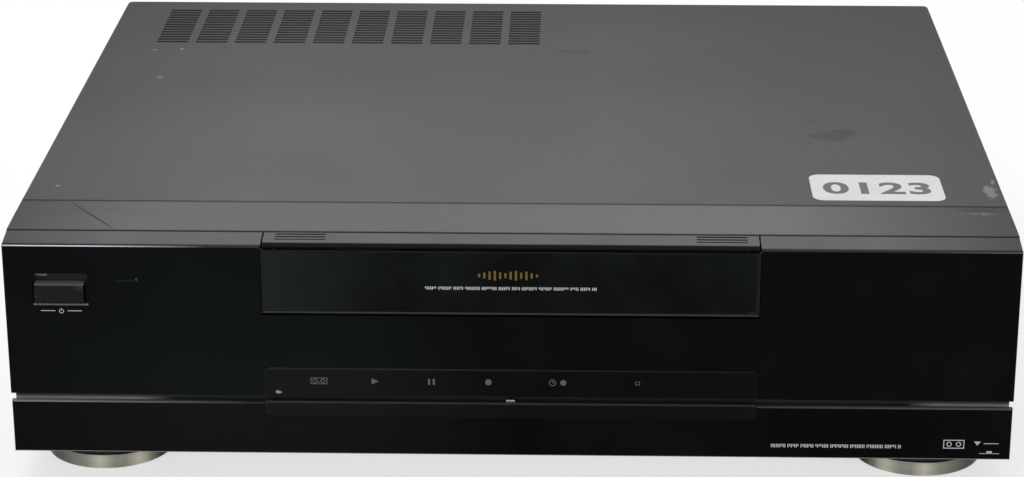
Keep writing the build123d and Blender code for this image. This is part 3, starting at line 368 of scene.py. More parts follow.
QUARTER = math.pi / 2
SIDE_SCREW_PLACES = [(y, 24) for y in (-118, 128)]
REAR_SCREW_PLACES = [(x, 106) for x in (-190, 0, 190)]
DECK_SCREW_PLACES = [(x, y) for x in (-120, 96) for y in (-140, 96)]
side, back, _ = (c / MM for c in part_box("top_cover")[1])
deck_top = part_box("deck_plate")[1].z / MM
SCREW_GROUPS = [
    ("cover_screws_right", "cover_screws", black_oxide, "black_screw", (0, QUARTER, 0), 1.4,
     [(side, y, z) for y, z in SIDE_SCREW_PLACES]),
    ("cover_screws_left", "cover_screws", black_oxide, "black_screw", (0, -QUARTER, 0), 1.4,
     [(-side, y, z) for y, z in SIDE_SCREW_PLACES]),
    ("cover_screws_rear", "cover_screws", black_oxide, "black_screw", (-QUARTER, 0, 0), 1.4,
     [(x, back, z) for x, z in REAR_SCREW_PLACES]),
    ("deck_screw_heads", "machine_screws", zinc, "zinc_steel", (0, 0, 0), 2.0,
     [(x, y, deck_top) for x, y in DECK_SCREW_PLACES]),
]
for name, node, finish, slot, turn, height, places in SCREW_GROUPS:
    heads = grow(name, [(x * MM, y * MM, z * MM) for x, y, z in places], pan_screw, finish=finish, turn=turn,
                 head_height=height * MM)
    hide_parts(node)
    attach(heads, "case")

# ------------------------------------------------------------------ rear wall and its sockets
# The rear wall is punched steel in baked black enamel, which shows a faint orange peel. Two 21-pin
# sockets, four phono jacks and the mains inlet are moulded in black; jacks and pins are plated.


def away_from(tree, place, centre, across):
    """Distance from a centre in mm, measured only along the axes that across keeps."""
    offset = add(tree, "ShaderNodeVectorMath", {0: place, 1: [c * MM for c in centre]}, operation="SUBTRACT")
    flat = add(tree, "ShaderNodeVectorMath", {0: offset, 1: across}, operation="MULTIPLY")
    return add(tree, "ShaderNodeVectorMath", {0: flat}, operation="LENGTH")


def inside_rods(tree, place, centres, radius, across=(1, 0, 1)):
    """One inside any of the round rods through the centres, nought outside. Lengths in mm."""
    nearest = away_from(tree, place, centres[0], across)
    for centre in centres[1:]:
        nearest = add(tree, "ShaderNodeMath", {0: nearest, 1: away_from(tree, place, centre, across)},
                      operation="MINIMUM")
    return add(tree, "ShaderNodeMath", {0: nearest, 1: radius * MM}, operation="LESS_THAN")


enamel, tree, place = start("baked_black_enamel")
peel = add(tree, "ShaderNodeTexNoise", {"Vector": place, "Scale": 1 / (1.6 * MM)})
lumps = add(tree, "ShaderNodeTexNoise", {"Vector": place, "Scale": 1 / (55 * MM), "Detail": 5.0})
dust = add(tree, "ShaderNodeMapRange", {0: lumps, 1: 0.35, 2: 0.7})
colour = add(tree, "ShaderNodeMix", {0: dust, 6: linear("1C1C1D"), 7: linear("29292A")}, data_type="RGBA")
bump = add(tree, "ShaderNodeBump", {"Height": peel, "Strength": 0.35, "Distance": 0.05 * MM})
skin = add(tree, "ShaderNodeBsdfPrincipled", {"Base Color": colour, "Roughness": 0.42, "Normal": bump})
add(tree, "ShaderNodeOutputMaterial", {0: skin})
dress(enamel, "rear_panel")

# Moulded sockets come from a spark-eroded tool, which leaves an even, fine matt grain.
SCART_PLACES = [(-78, 56), (-18, 56)]
PHONO_PLACES = [(x, z) for x in (54, 72) for z in (46, 66)]
FRONT_JACK_PLACES = [(x, 28) for x in (136, 152, 168)]
INLET_PINS = [(-176 + shift, 0, 44) for shift in (-4.3, 4.3)]
INLET_PIN_RADIUS = 1.25
socket_black, tree, place = start("spark_eroded_black_nylon")
grain = add(tree, "ShaderNodeTexNoise", {"Vector": place, "Scale": 1 / (0.4 * MM), "Detail": 3.0})
colour = add(tree, "ShaderNodeMix", {0: grain, 6: linear("131314"), 7: linear("212122")}, data_type="RGBA")
pins = inside_rods(tree, place, INLET_PINS, INLET_PIN_RADIUS)
colour = add(tree, "ShaderNodeMix", {0: pins, 6: colour, 7: linear("C9C8C0")}, data_type="RGBA")
rough = add(tree, "ShaderNodeMapRange", {0: pins, 3: 0.55, 4: 0.25})
bump = add(tree, "ShaderNodeBump", {"Height": grain, "Strength": 0.3, "Distance": 0.04 * MM})
skin = add(tree, "ShaderNodeBsdfPrincipled",
           {"Base Color": colour, "Metallic": pins, "Roughness": rough, "Normal": bump})
add(tree, "ShaderNodeOutputMaterial", {0: skin})
dress(socket_black, "scart_sockets", "mains_inlet")

# Phono jacks: nickel-plated barrels with a coloured insulator, red for right, white for left and
# yellow for the video signal.
jack, tree, place = start("nickel_plated_jacks_in_black_moulding")
grain = add(tree, "ShaderNodeTexNoise", {"Vector": place, "Scale": 1 / (0.4 * MM), "Detail": 3.0})
colour = add(tree, "ShaderNodeMix", {0: grain, 6: linear("131314"), 7: linear("212122")}, data_type="RGBA")
JACK_COLOURS = (("B02A22", [(72, 46), (72, 66), (168, 28)]), ("E6E4DC", [(54, 46), (54, 66), (152, 28)]),
                ("D8B93A", [(136, 28)]))
REAR_WALL_Y = 177.02
PANEL_Y = -174.42
BARREL_RADIUS = 4.3
INSULATOR_RADIUS = 3.1
BORE_RADIUS = 1.72
every_jack = [(x, 0, z) for x, z in PHONO_PLACES + FRONT_JACK_PLACES]
_, along, _ = add(tree, "ShaderNodeSeparateXYZ", {0: place}).outputs
proud = add(tree, "ShaderNodeMath", {0: along}, operation="ABSOLUTE")
rear_proud = add(tree, "ShaderNodeMath", {0: proud, 1: REAR_WALL_Y * MM}, operation="GREATER_THAN")
front_proud = add(tree, "ShaderNodeMath", {0: along, 1: PANEL_Y * MM}, operation="LESS_THAN")
proud = add(tree, "ShaderNodeMath", {0: rear_proud, 1: front_proud}, operation="MAXIMUM")
barrel = inside_rods(tree, place, every_jack, BARREL_RADIUS)
barrel = add(tree, "ShaderNodeMath", {0: barrel, 1: proud}, operation="MULTIPLY")
colour = add(tree, "ShaderNodeMix", {0: barrel, 6: colour, 7: linear("C4C2BA")}, data_type="RGBA")
metal = barrel
for code, some in JACK_COLOURS:
    ring = inside_rods(tree, place, [(x, 0, z) for x, z in some], INSULATOR_RADIUS)
    ring = add(tree, "ShaderNodeMath", {0: barrel, 1: ring}, operation="MULTIPLY")
    colour = add(tree, "ShaderNodeMix", {0: ring, 6: colour, 7: linear(code)}, data_type="RGBA")
    metal = add(tree, "ShaderNodeMath", {0: metal, 1: ring}, operation="SUBTRACT")
bore = inside_rods(tree, place, every_jack, BORE_RADIUS)
colour = add(tree, "ShaderNodeMix", {0: bore, 6: colour, 7: linear("6F5A2E")}, data_type="RGBA")
rough = add(tree, "ShaderNodeMapRange", {0: metal, 3: 0.5, 4: 0.24})
bump = add(tree, "ShaderNodeBump", {"Height": grain, "Strength": 0.2, "Distance": 0.03 * MM})
skin = add(tree, "ShaderNodeBsdfPrincipled",
           {"Base Color": colour, "Metallic": metal, "Roughness": rough, "Normal": bump})
add(tree, "ShaderNodeOutputMaterial", {0: skin})
dress(jack, "phono_jacks")

# Spring contacts of the 21-pin sockets: stamped bronze blades with a gold flash, ten to a row.
contact_blade = bpy.data.node_groups.new("contact_blade", "GeometryNodeTree")
enter = sockets(contact_blade, Blade_width=0.9 * MM, Blade_length=4.2 * MM, Blade_height=1.7 * MM,
                Turn=(0, 0, 0), Finish=None)
size = add(contact_blade, "ShaderNodeCombineXYZ",
           {0: enter["Blade width"], 1: enter["Blade length"], 2: enter["Blade height"]})
blade = add(contact_blade, "GeometryNodeMeshCube", {"Size": size})
nose = [add(contact_blade, "ShaderNodeMath", {0: enter[name], 1: part}, operation="MULTIPLY")
        for name, part in (("Blade width", 0.6), ("Blade length", 0.2), ("Blade height", 0.5))]
nose = add(contact_blade, "ShaderNodeCombineXYZ", {0: nose[0], 1: nose[1], 2: nose[2]})
tip = add(contact_blade, "GeometryNodeMeshCube", {"Size": nose})
reach = add(contact_blade, "ShaderNodeMath", {0: enter["Blade length"], 1: 0.58}, operation="MULTIPLY")
ahead_of = add(contact_blade, "ShaderNodeCombineXYZ", {1: reach})
tip = add(contact_blade, "GeometryNodeTransform", {"Geometry": tip, "Translation": ahead_of})
whole = add(contact_blade, "GeometryNodeJoinGeometry", {0: blade})
contact_blade.links.new(tip.outputs[0], whole.inputs[0])
copies_of(contact_blade, whole, enter)

gold_flash, tree, place = start("gold_flashed_bronze")
rub = add(tree, "ShaderNodeTexNoise", {"Vector": place, "Scale": 1 / (0.8 * MM), "Detail": 3.0})
colour = add(tree, "ShaderNodeMix", {0: rub, 6: linear("C79A4A"), 7: linear("E2BE72")}, data_type="RGBA")
skin = add(tree, "ShaderNodeBsdfPrincipled", {"Base Color": colour, "Metallic": 1.0, "Roughness": 0.3})
add(tree, "ShaderNodeOutputMaterial", {0: skin})
BLADES_IN_ROW = 10
BLADE_PITCH = 3.6
BLADE_ROWS = (-3.0, 2.6)
BLADE_Y = 168.2
blade_places = [((x + (step - (BLADES_IN_ROW - 1) / 2) * BLADE_PITCH) * MM, BLADE_Y * MM, (z + row) * MM)
                for x, z in SCART_PLACES for row in BLADE_ROWS for step in range(BLADES_IN_ROW)]
blades = grow("socket_contacts", blade_places, contact_blade, finish=gold_flash)
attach(blades, "case")

# ------------------------------------------------------------------ circuit boards
# Glass-fibre boards under green solder mask, black on those behind the control panel. The copper
# tracks show as paler raised lines and each solder pad as a small bright dot on a 2.54 mm grid.
HOLE_GRID = 2.54
PAD_RADIUS = 0.7
PADS_LEFT_OUT = 0.72
FRONT_BOARDS_Y = -160
board, tree, place = start("solder_masked_glass_fibre")
tracks = add(tree, "ShaderNodeTexVoronoi", {"Vector": place, "Scale": 1 / (9 * MM)},
             feature="DISTANCE_TO_EDGE")
track = add(tree, "ShaderNodeMapRange", {0: tracks, 1: 0.03, 2: 0.06, 3: 1, 4: 0})
pitch = (HOLE_GRID * MM,) * 3
grid = add(tree, "ShaderNodeVectorMath", {0: place, 1: pitch}, operation="SNAP")
used = add(tree, "ShaderNodeTexWhiteNoise", {"Vector": grid})
used = add(tree, "ShaderNodeMath", {0: used, 1: PADS_LEFT_OUT}, operation="GREATER_THAN")
cell = add(tree, "ShaderNodeVectorMath", {0: place, 1: pitch}, operation="MODULO")
cell = add(tree, "ShaderNodeVectorMath", {0: cell}, operation="ABSOLUTE")
cell = add(tree, "ShaderNodeVectorMath", {0: cell, 1: (HOLE_GRID / 2 * MM,) * 3}, operation="SUBTRACT")
cell = add(tree, "ShaderNodeVectorMath", {0: cell, 1: (1, 1, 0)}, operation="MULTIPLY")
away = add(tree, "ShaderNodeVectorMath", {0: cell}, operation="LENGTH")
pad = add(tree, "ShaderNodeMath", {0: away, 1: PAD_RADIUS * MM}, operation="LESS_THAN")
pad = add(tree, "ShaderNodeMath", {0: pad, 1: used}, operation="MULTIPLY")
cloud = add(tree, "ShaderNodeTexNoise", {"Vector": place, "Scale": 1 / (30 * MM), "Detail": 3.0})
colour = add(tree, "ShaderNodeMix", {0: cloud, 6: linear("1F5A35"), 7: linear("2B6B40")}, data_type="RGBA")
colour = add(tree, "ShaderNodeMix", {0: track, 6: colour, 7: linear("4A8F57")}, data_type="RGBA")
black = add(tree, "ShaderNodeMix", {0: track, 6: linear("101412"), 7: linear("1B211E")}, data_type="RGBA")
_, along, _ = add(tree, "ShaderNodeSeparateXYZ", {0: place}).outputs
behind_panel = add(tree, "ShaderNodeMath", {0: along, 1: FRONT_BOARDS_Y * MM}, operation="LESS_THAN")
colour = add(tree, "ShaderNodeMix", {0: behind_panel, 6: colour, 7: black}, data_type="RGBA")
colour = add(tree, "ShaderNodeMix", {0: pad, 6: colour, 7: linear("C8C8C4")}, data_type="RGBA")
bump = add(tree, "ShaderNodeBump", {"Height": track, "Strength": 0.3, "Distance": 0.04 * MM})
skin = add(tree, "ShaderNodeBsdfPrincipled",
           {"Base Color": colour, "Metallic": pad, "Roughness": 0.38, "Normal": bump})
add(tree, "ShaderNodeOutputMaterial", {0: skin})
dress(board, "chassis_boards", "front_boards")

# ------------------------------------------------------------------ parts on the main board
# Moulded epoxy chips, matt and nearly black, and two bright tinned shielding cans, all soldered to
# the main board with the capacitors, the transformer, the heat sink and the tuner.


def inside_box(tree, place, low, high):
    """One inside a box given by two corners in mm, nought outside."""
    middle = [(a + b) / 2 * MM for a, b in zip(low, high)]
    half = [(b - a) / 2 * MM for a, b in zip(low, high)]
    offset = add(tree, "ShaderNodeVectorMath", {0: place, 1: middle}, operation="SUBTRACT")
    reach = add(tree, "ShaderNodeVectorMath", {0: offset}, operation="ABSOLUTE")
    over = add(tree, "ShaderNodeVectorMath", {0: reach, 1: half}, operation="SUBTRACT")
    split = add(tree, "ShaderNodeSeparateXYZ", {0: over}).outputs
    worst = add(tree, "ShaderNodeMath", {0: split[0], 1: split[1]}, operation="MAXIMUM")
    worst = add(tree, "ShaderNodeMath", {0: worst, 1: split[2]}, operation="MAXIMUM")
    return add(tree, "ShaderNodeMath", {0: worst, 1: 0.0}, operation="LESS_THAN")


SHIELD_CANS = (((119.9, 83.9, 27), (160.1, 110.1, 47)), ((-60.1, 115.9, 27), (-19.9, 142.1, 45)))
package, tree, place = start("moulded_epoxy_packages_and_tinned_cans")
grain = add(tree, "ShaderNodeTexNoise", {"Vector": place, "Scale": 1 / (0.5 * MM), "Detail": 3.0})
cans = [inside_box(tree, place, *corners) for corners in SHIELD_CANS]
cans = add(tree, "ShaderNodeMath", {0: cans[0], 1: cans[1]}, operation="MAXIMUM")
colour = add(tree, "ShaderNodeMix", {0: grain, 6: linear("19191A"), 7: linear("28282A")}, data_type="RGBA")
colour = add(tree, "ShaderNodeMix", {0: cans, 6: colour, 7: linear("B9BABB")}, data_type="RGBA")
rough = add(tree, "ShaderNodeMapRange", {0: cans, 3: 0.6, 4: 0.33})
bump = add(tree, "ShaderNodeBump", {"Height": grain, "Strength": 0.25, "Distance": 0.03 * MM})
skin = add(tree, "ShaderNodeBsdfPrincipled",
           {"Base Color": colour, "Metallic": cans, "Roughness": rough, "Normal": bump})
add(tree, "ShaderNodeOutputMaterial", {0: skin})
dress(package, "board_chips")

# Electrolytic capacitors: a dark blue shrink sleeve with a pale stripe, open over an aluminium top.
sleeve, tree, place = start("shrink_sleeve_on_aluminium_cans")
turn = add(tree, "ShaderNodeNewGeometry").outputs["Normal"]
turn = add(tree, "ShaderNodeSeparateXYZ", {0: turn}).outputs
top = add(tree, "ShaderNodeMath", {0: turn[2], 1: 0.9}, operation="GREATER_THAN")
stripe = add(tree, "ShaderNodeMath", {0: turn[0], 1: -0.93}, operation="LESS_THAN")
lumps = add(tree, "ShaderNodeTexNoise", {"Vector": place, "Scale": 1 / (6 * MM), "Detail": 3.0})
colour = add(tree, "ShaderNodeMix", {0: lumps, 6: linear("232A4E"), 7: linear("2E3763")}, data_type="RGBA")
for share, code in ((stripe, "9AA3BC"), (top, "C4C5C6")):
    colour = add(tree, "ShaderNodeMix", {0: share, 6: colour, 7: linear(code)}, data_type="RGBA")
rough = add(tree, "ShaderNodeMapRange", {0: top, 3: 0.35, 4: 0.28})
skin = add(tree, "ShaderNodeBsdfPrincipled", {"Base Color": colour, "Metallic": top, "Roughness": rough})
add(tree, "ShaderNodeOutputMaterial", {0: skin})
dress(sleeve, "capacitors")

# Mains transformer: varnished laminations round enamelled copper windings, which show as fine brown
# and orange lines. Half-millimetre sheets are too fine to show, so they are drawn three times as thick.
core, tree, place = start("varnished_laminations_and_copper_wire")
CORE_Y = (95.9, 134.1)
SHEET_THICK = 1.6
WIRE_THICK = 1.0
_, along, _ = add(tree, "ShaderNodeSeparateXYZ", {0: place}).outputs
before = add(tree, "ShaderNodeMath", {0: along, 1: CORE_Y[0] * MM}, operation="LESS_THAN")
behind = add(tree, "ShaderNodeMath", {0: along, 1: CORE_Y[1] * MM}, operation="GREATER_THAN")
wound = add(tree, "ShaderNodeMath", {0: before, 1: behind}, operation="MAXIMUM")
WAVES_PER_UNIT = 0.31
sheets, turns = (add(tree, "ShaderNodeTexWave", {"Vector": place, "Scale": WAVES_PER_UNIT / (thick * MM),
                                                 "Distortion": uneven}, bands_direction=way).outputs["Fac"]
                 for thick, uneven, way in ((SHEET_THICK, 0.4, "Y"), (WIRE_THICK, 0.2, "Z")))
steel = add(tree, "ShaderNodeMix", {0: sheets, 6: linear("3B3733"), 7: linear("6A655E")}, data_type="RGBA")
copper = add(tree, "ShaderNodeMix", {0: turns, 6: linear("6E3A1E"), 7: linear("C07A45")}, data_type="RGBA")
height = add(tree, "ShaderNodeMix", {0: wound, 6: sheets, 7: turns}, data_type="RGBA")
colour = add(tree, "ShaderNodeMix", {0: wound, 6: steel, 7: copper}, data_type="RGBA")
bump = add(tree, "ShaderNodeBump", {"Height": height, "Strength": 0.5, "Distance": 0.15 * MM})
skin = add(tree, "ShaderNodeBsdfPrincipled",
           {"Base Color": colour, "Metallic": 0.7, "Roughness": 0.38, "Normal": bump})
add(tree, "ShaderNodeOutputMaterial", {0: skin})
dress(core, "transformer")

# Heat sink: extruded aluminium with drawing lines along its height.
extruded, tree, place = start("extruded_aluminium")
lines = add(tree, "ShaderNodeMapping", {"Vector": place, "Scale": (1, 1, 0.03)})
lines = add(tree, "ShaderNodeTexNoise", {"Vector": lines, "Scale": 1 / (0.35 * MM), "Detail": 3.0})
colour = add(tree, "ShaderNodeMix", {0: lines, 6: linear("A3A5A7"), 7: linear("C6C8CA")}, data_type="RGBA")
rough = add(tree, "ShaderNodeMapRange", {0: lines, 1: 0.3, 2: 0.7, 3: 0.3, 4: 0.42})
bump = add(tree, "ShaderNodeBump", {"Height": lines, "Strength": 0.3, "Distance": 0.05 * MM})
skin = add(tree, "ShaderNodeBsdfPrincipled",
           {"Base Color": colour, "Metallic": 1.0, "Roughness": rough, "Normal": bump})
add(tree, "ShaderNodeOutputMaterial", {0: skin})
dress(extruded, "heat_sink")

# Tuner: a tinned steel can, with pale plastic round the centre contact of each aerial socket.
tinned, tree, place = start("tinned_steel_can")
spangle = add(tree, "ShaderNodeTexVoronoi", {"Vector": place, "Scale": 1 / (5 * MM)})
AERIAL_PLACES = [(x, 0, 52) for x in (150, 178)]
SOCKET_FLOOR_Y = 178.2
_, along, _ = add(tree, "ShaderNodeSeparateXYZ", {0: place}).outputs
socket_floor = add(tree, "ShaderNodeMath", {0: along, 1: SOCKET_FLOOR_Y * MM}, operation="LESS_THAN")
insulator = inside_rods(tree, place, AERIAL_PLACES, 4.6)
insulator = add(tree, "ShaderNodeMath", {0: insulator, 1: socket_floor}, operation="MULTIPLY")
core_pin = inside_rods(tree, place, AERIAL_PLACES, 1.2)
colour = add(tree, "ShaderNodeMix", {0: spangle, 6: linear("BEBEBC"), 7: linear("A5A6A6")}, data_type="RGBA")
for share, code in ((insulator, "E4E0D2"), (core_pin, "C9A254")):
    colour = add(tree, "ShaderNodeMix", {0: share, 6: colour, 7: linear(code)}, data_type="RGBA")
metal = add(tree, "ShaderNodeMath", {0: 1.0, 1: insulator}, operation="SUBTRACT")
metal = add(tree, "ShaderNodeMath", {0: metal, 1: core_pin}, operation="MAXIMUM")
rough = add(tree, "ShaderNodeMapRange", {0: spangle, 2: 0.8, 3: 0.26, 4: 0.4})
skin = add(tree, "ShaderNodeBsdfPrincipled", {"Base Color": colour, "Metallic": metal, "Roughness": rough})
add(tree, "ShaderNodeOutputMaterial", {0: skin})
dress(tinned, "tuner")

# ------------------------------------------------------------------ tape deck
# Reel tables and the cassette sledge are moulded nylon: off-white, a little waxy, with faint flow
# marks from the mould.
nylon, tree, place = start("natural_nylon")
flow = add(tree, "ShaderNodeTexNoise",
           {"Vector": place, "Scale": 1 / (14 * MM), "Detail": 3.0, "Distortion": 1.2})
grain = add(tree, "ShaderNodeTexNoise", {"Vector": place, "Scale": 1 / (0.5 * MM)})
colour = add(tree, "ShaderNodeMix", {0: flow, 6: linear("E2E0D4"), 7: linear("EFEDE4")}, data_type="RGBA")
bump = add(tree, "ShaderNodeBump", {"Height": grain, "Strength": 0.15, "Distance": 0.03 * MM})
skin = add(tree, "ShaderNodeBsdfPrincipled",
           {"Base Color": colour, "Roughness": 0.42, "Subsurface Weight": 0.08, "Normal": bump})
add(tree, "ShaderNodeOutputMaterial", {0: skin})
dress(nylon, "cassette_sledge", "reel_table_left", "reel_table_right")

# Drum: aluminium turned with a diamond tool. The marks are rings round its own leaning axis.
drum, tree, place = start("diamond_turned_aluminium")
DRUM_AT = (0, 62 * MM, 46 * MM)
DRUM_LEAN = (-math.radians(5), 0, 0)
own = add(tree, "ShaderNodeMapping", {"Vector": place, "Location": DRUM_AT, "Rotation": DRUM_LEAN},
          vector_type="TEXTURE")
_, _, height = add(tree, "ShaderNodeSeparateXYZ", {0: own}).outputs
flat = add(tree, "ShaderNodeVectorMath", {0: own, 1: (1, 1, 0)}, operation="MULTIPLY")
radius = add(tree, "ShaderNodeVectorMath", {0: flat}, operation="LENGTH")
both = add(tree, "ShaderNodeMath", {0: radius, 1: height}, operation="ADD")
rings = add(tree, "ShaderNodeTexNoise", {"W": both, "Scale": 1 / (0.35 * MM)}, noise_dimensions="1D")
colour = add(tree, "ShaderNodeMix", {0: rings, 6: linear("C9CACC"), 7: linear("E3E4E6")}, data_type="RGBA")
rough = add(tree, "ShaderNodeMapRange", {0: rings, 1: 0.3, 2: 0.7, 3: 0.14, 4: 0.26})
bump = add(tree, "ShaderNodeBump", {"Height": rings, "Strength": 0.25, "Distance": 0.02 * MM})
skin = add(tree, "ShaderNodeBsdfPrincipled",
           {"Base Color": colour, "Metallic": 1.0, "Roughness": rough, "Normal": bump})
add(tree, "ShaderNodeOutputMaterial", {0: skin})
dress(drum, "lower_drum", "head_drum")

# Deck pins and the capstan: ground stainless steel with fine rings round each shaft.
ground, tree, place = start("ground_stainless_steel")
band = add(tree, "ShaderNodeMapping", {"Vector": place, "Scale": (0.05, 0.05, 1)})
band = add(tree, "ShaderNodeTexNoise", {"Vector": band, "Scale": 1 / (0.3 * MM)})
colour = add(tree, "ShaderNodeMix", {0: band, 6: linear("B5B6B7"), 7: linear("D3D4D5")}, data_type="RGBA")
rough = add(tree, "ShaderNodeMapRange", {0: band, 1: 0.3, 2: 0.7, 3: 0.12, 4: 0.24})
bump = add(tree, "ShaderNodeBump", {"Height": band, "Strength": 0.15, "Distance": 0.01 * MM})
skin = add(tree, "ShaderNodeBsdfPrincipled",
           {"Base Color": colour, "Metallic": 1.0, "Roughness": rough, "Normal": bump})
add(tree, "ShaderNodeOutputMaterial", {0: skin})
dress(ground, "deck_pins", "capstan")

# Guide carriages and the capstan's sleeve: turned brass, which dulls where oil and dust settle.
brass, tree, place = start("turned_brass")
stain = add(tree, "ShaderNodeTexNoise", {"Vector": place, "Scale": 1 / (3 * MM), "Detail": 4.0})
colour = add(tree, "ShaderNodeMix", {0: stain, 6: linear("B08A45"), 7: linear("D9B56A")}, data_type="RGBA")
rough = add(tree, "ShaderNodeMapRange", {0: stain, 1: 0.3, 2: 0.7, 3: 0.22, 4: 0.42})
skin = add(tree, "ShaderNodeBsdfPrincipled", {"Base Color": colour, "Metallic": 1.0, "Roughness": rough})
add(tree, "ShaderNodeOutputMaterial", {0: skin})
dress(brass, "capstan_bearing", "tape_guide_left", "tape_guide_right")

# Tape heads: a lapped metal face in a drawn can, with the dark line of the gap down the middle.
head_face, tree, place = start("lapped_head_in_drawn_can")
HEAD_GAPS = (((57.35, 40, 46), (57.65, 50, 63)), ((-58.15, 30, 45), (-57.85, 40, 61)))
gaps = [inside_box(tree, place, *corners) for corners in HEAD_GAPS]
gap = add(tree, "ShaderNodeMath", {0: gaps[0], 1: gaps[1]}, operation="MAXIMUM")
drawn = add(tree, "ShaderNodeMapping", {"Vector": place, "Scale": (1, 1, 0.05)})
drawn = add(tree, "ShaderNodeTexNoise", {"Vector": drawn, "Scale": 1 / (0.4 * MM)})
colour = add(tree, "ShaderNodeMix", {0: drawn, 6: linear("A9A8A2"), 7: linear("C8C7C0")}, data_type="RGBA")
colour = add(tree, "ShaderNodeMix", {0: gap, 6: colour, 7: linear("1A1A1A")}, data_type="RGBA")
rough = add(tree, "ShaderNodeMapRange", {0: drawn, 1: 0.3, 2: 0.7, 3: 0.16, 4: 0.3})
skin = add(tree, "ShaderNodeBsdfPrincipled", {"Base Color": colour, "Metallic": 1.0, "Roughness": rough})
add(tree, "ShaderNodeOutputMaterial", {0: skin})
dress(head_face, "tape_heads")

# Loading motor: a deep-drawn steel can with a plated, slightly blotched skin.
can, tree, place = start("drawn_steel_can")
blotch = add(tree, "ShaderNodeTexNoise", {"Vector": place, "Scale": 1 / (7 * MM), "Detail": 4.0})
lines = add(tree, "ShaderNodeMapping", {"Vector": place, "Scale": (1, 0.04, 1)})
lines = add(tree, "ShaderNodeTexNoise", {"Vector": lines, "Scale": 1 / (0.5 * MM)})
colour = add(tree, "ShaderNodeMix", {0: blotch, 6: linear("9A9B9C"), 7: linear("B7B8B9")}, data_type="RGBA")
rough = add(tree, "ShaderNodeMapRange", {0: lines, 1: 0.3, 2: 0.7, 3: 0.24, 4: 0.4})
bump = add(tree, "ShaderNodeBump", {"Height": lines, "Strength": 0.2, "Distance": 0.03 * MM})
skin = add(tree, "ShaderNodeBsdfPrincipled",
           {"Base Color": colour, "Metallic": 1.0, "Roughness": rough, "Normal": bump})
add(tree, "ShaderNodeOutputMaterial", {0: skin})
dress(can, "loading_motor")

# ------------------------------------------------------------------ front moulding
# The fascia behind the gloss plate is black ABS with a spark-eroded matt grain. The upward faces of
# its narrow top ledge are painted charcoal to match the steel cover, a painted top light, up to the
# seam of the piece over the lid. The charcoal is painted darker at the nose, at the seam and towards
# both ends, and the rest above the ledge a darker black, all painted shade.


def facing(tree):
    """The way the surface faces in the piece's own frame: its x, y and z parts."""
    own = add(tree, "ShaderNodeTexCoord").outputs["Normal"]
    return add(tree, "ShaderNodeSeparateXYZ", {0: own}).outputs


LEDGE_Z = 108.6
LID_HALF_WIDTH = 105.2
NOSE_SHADE_AT_LID = (-182.3, -181.2)
NOSE_SHADE_BESIDE = (-184.7, -183.2)
SEAM_SHADE_SPAN = (-173.5, -173.0)
BUTTON_RECESS = ((-203.2, -186, 82), (-178.8, -179.5, 98))
FOOT_NECK_Z = 15.1
abs_black, tree, place = start("spark_eroded_black_abs")
grain = add(tree, "ShaderNodeTexNoise", {"Vector": place, "Scale": 1 / (0.45 * MM), "Detail": 3.0})
across, along, above = add(tree, "ShaderNodeSeparateXYZ", {0: place}).outputs
off_middle = add(tree, "ShaderNodeMath", {0: across}, operation="ABSOLUTE")
over_lid = add(tree, "ShaderNodeMath", {0: off_middle, 1: LID_HALF_WIDTH * MM}, operation="LESS_THAN")
# Painted shade where the ledge's nose rounds down, ahead of the lid and beside it.
at_lid, beside = (add(tree, "ShaderNodeMapRange", {0: along, 1: first * MM, 2: last * MM})
                  for first, last in (NOSE_SHADE_AT_LID, NOSE_SHADE_BESIDE))
nose = add(tree, "ShaderNodeMix", {0: over_lid, 2: beside, 3: at_lid})
# Painted shade in the seam at the back of the ledge.
seam_shade = add(tree, "ShaderNodeMapRange",
           {0: along, 1: SEAM_SHADE_SPAN[0] * MM, 2: SEAM_SHADE_SPAN[1] * MM, 3: 1, 4: 0.3})
brow = add(tree, "ShaderNodeMath", {0: above, 1: LEDGE_Z * MM}, operation="GREATER_THAN")
facing_up = add(tree, "ShaderNodeMath", {0: facing(tree)[2], 1: 0.6}, operation="GREATER_THAN")
# Painted top light: only the upward faces of the ledge take the charcoal.
ledge_top_light = brow
for limit in (facing_up, nose, seam_shade):
    ledge_top_light = add(tree, "ShaderNodeMath", {0: ledge_top_light, 1: limit}, operation="MULTIPLY")
lit_recess = inside_box(tree, place, *BUTTON_RECESS)
lit_neck = add(tree, "ShaderNodeMath", {0: above, 1: FOOT_NECK_Z * MM}, operation="LESS_THAN")
colour = add(tree, "ShaderNodeMix", {0: grain, 6: linear("0E0E0F"), 7: linear("18181A")}, data_type="RGBA")
# Painted light: the button recess and the feet's necks are paler grey, lifting their shade. Painted shade:
# the black above the ledge height, on the nose, is darker.
for share, code in ((lit_recess, "333335"), (lit_neck, "3A3A3B"), (brow, "070708")):
    colour = add(tree, "ShaderNodeMix", {0: share, 6: colour, 7: linear(code)}, data_type="RGBA")
lumps = add(tree, "ShaderNodeTexNoise", {"Vector": place, "Scale": 1 / (35 * MM), "Detail": 5.0})
dust = add(tree, "ShaderNodeMapRange", {0: lumps, 1: 0.3, 2: 0.7})
charcoal = add(tree, "ShaderNodeMix", {0: dust, 6: linear("5B5B5C"), 7: linear("636364")}, data_type="RGBA")
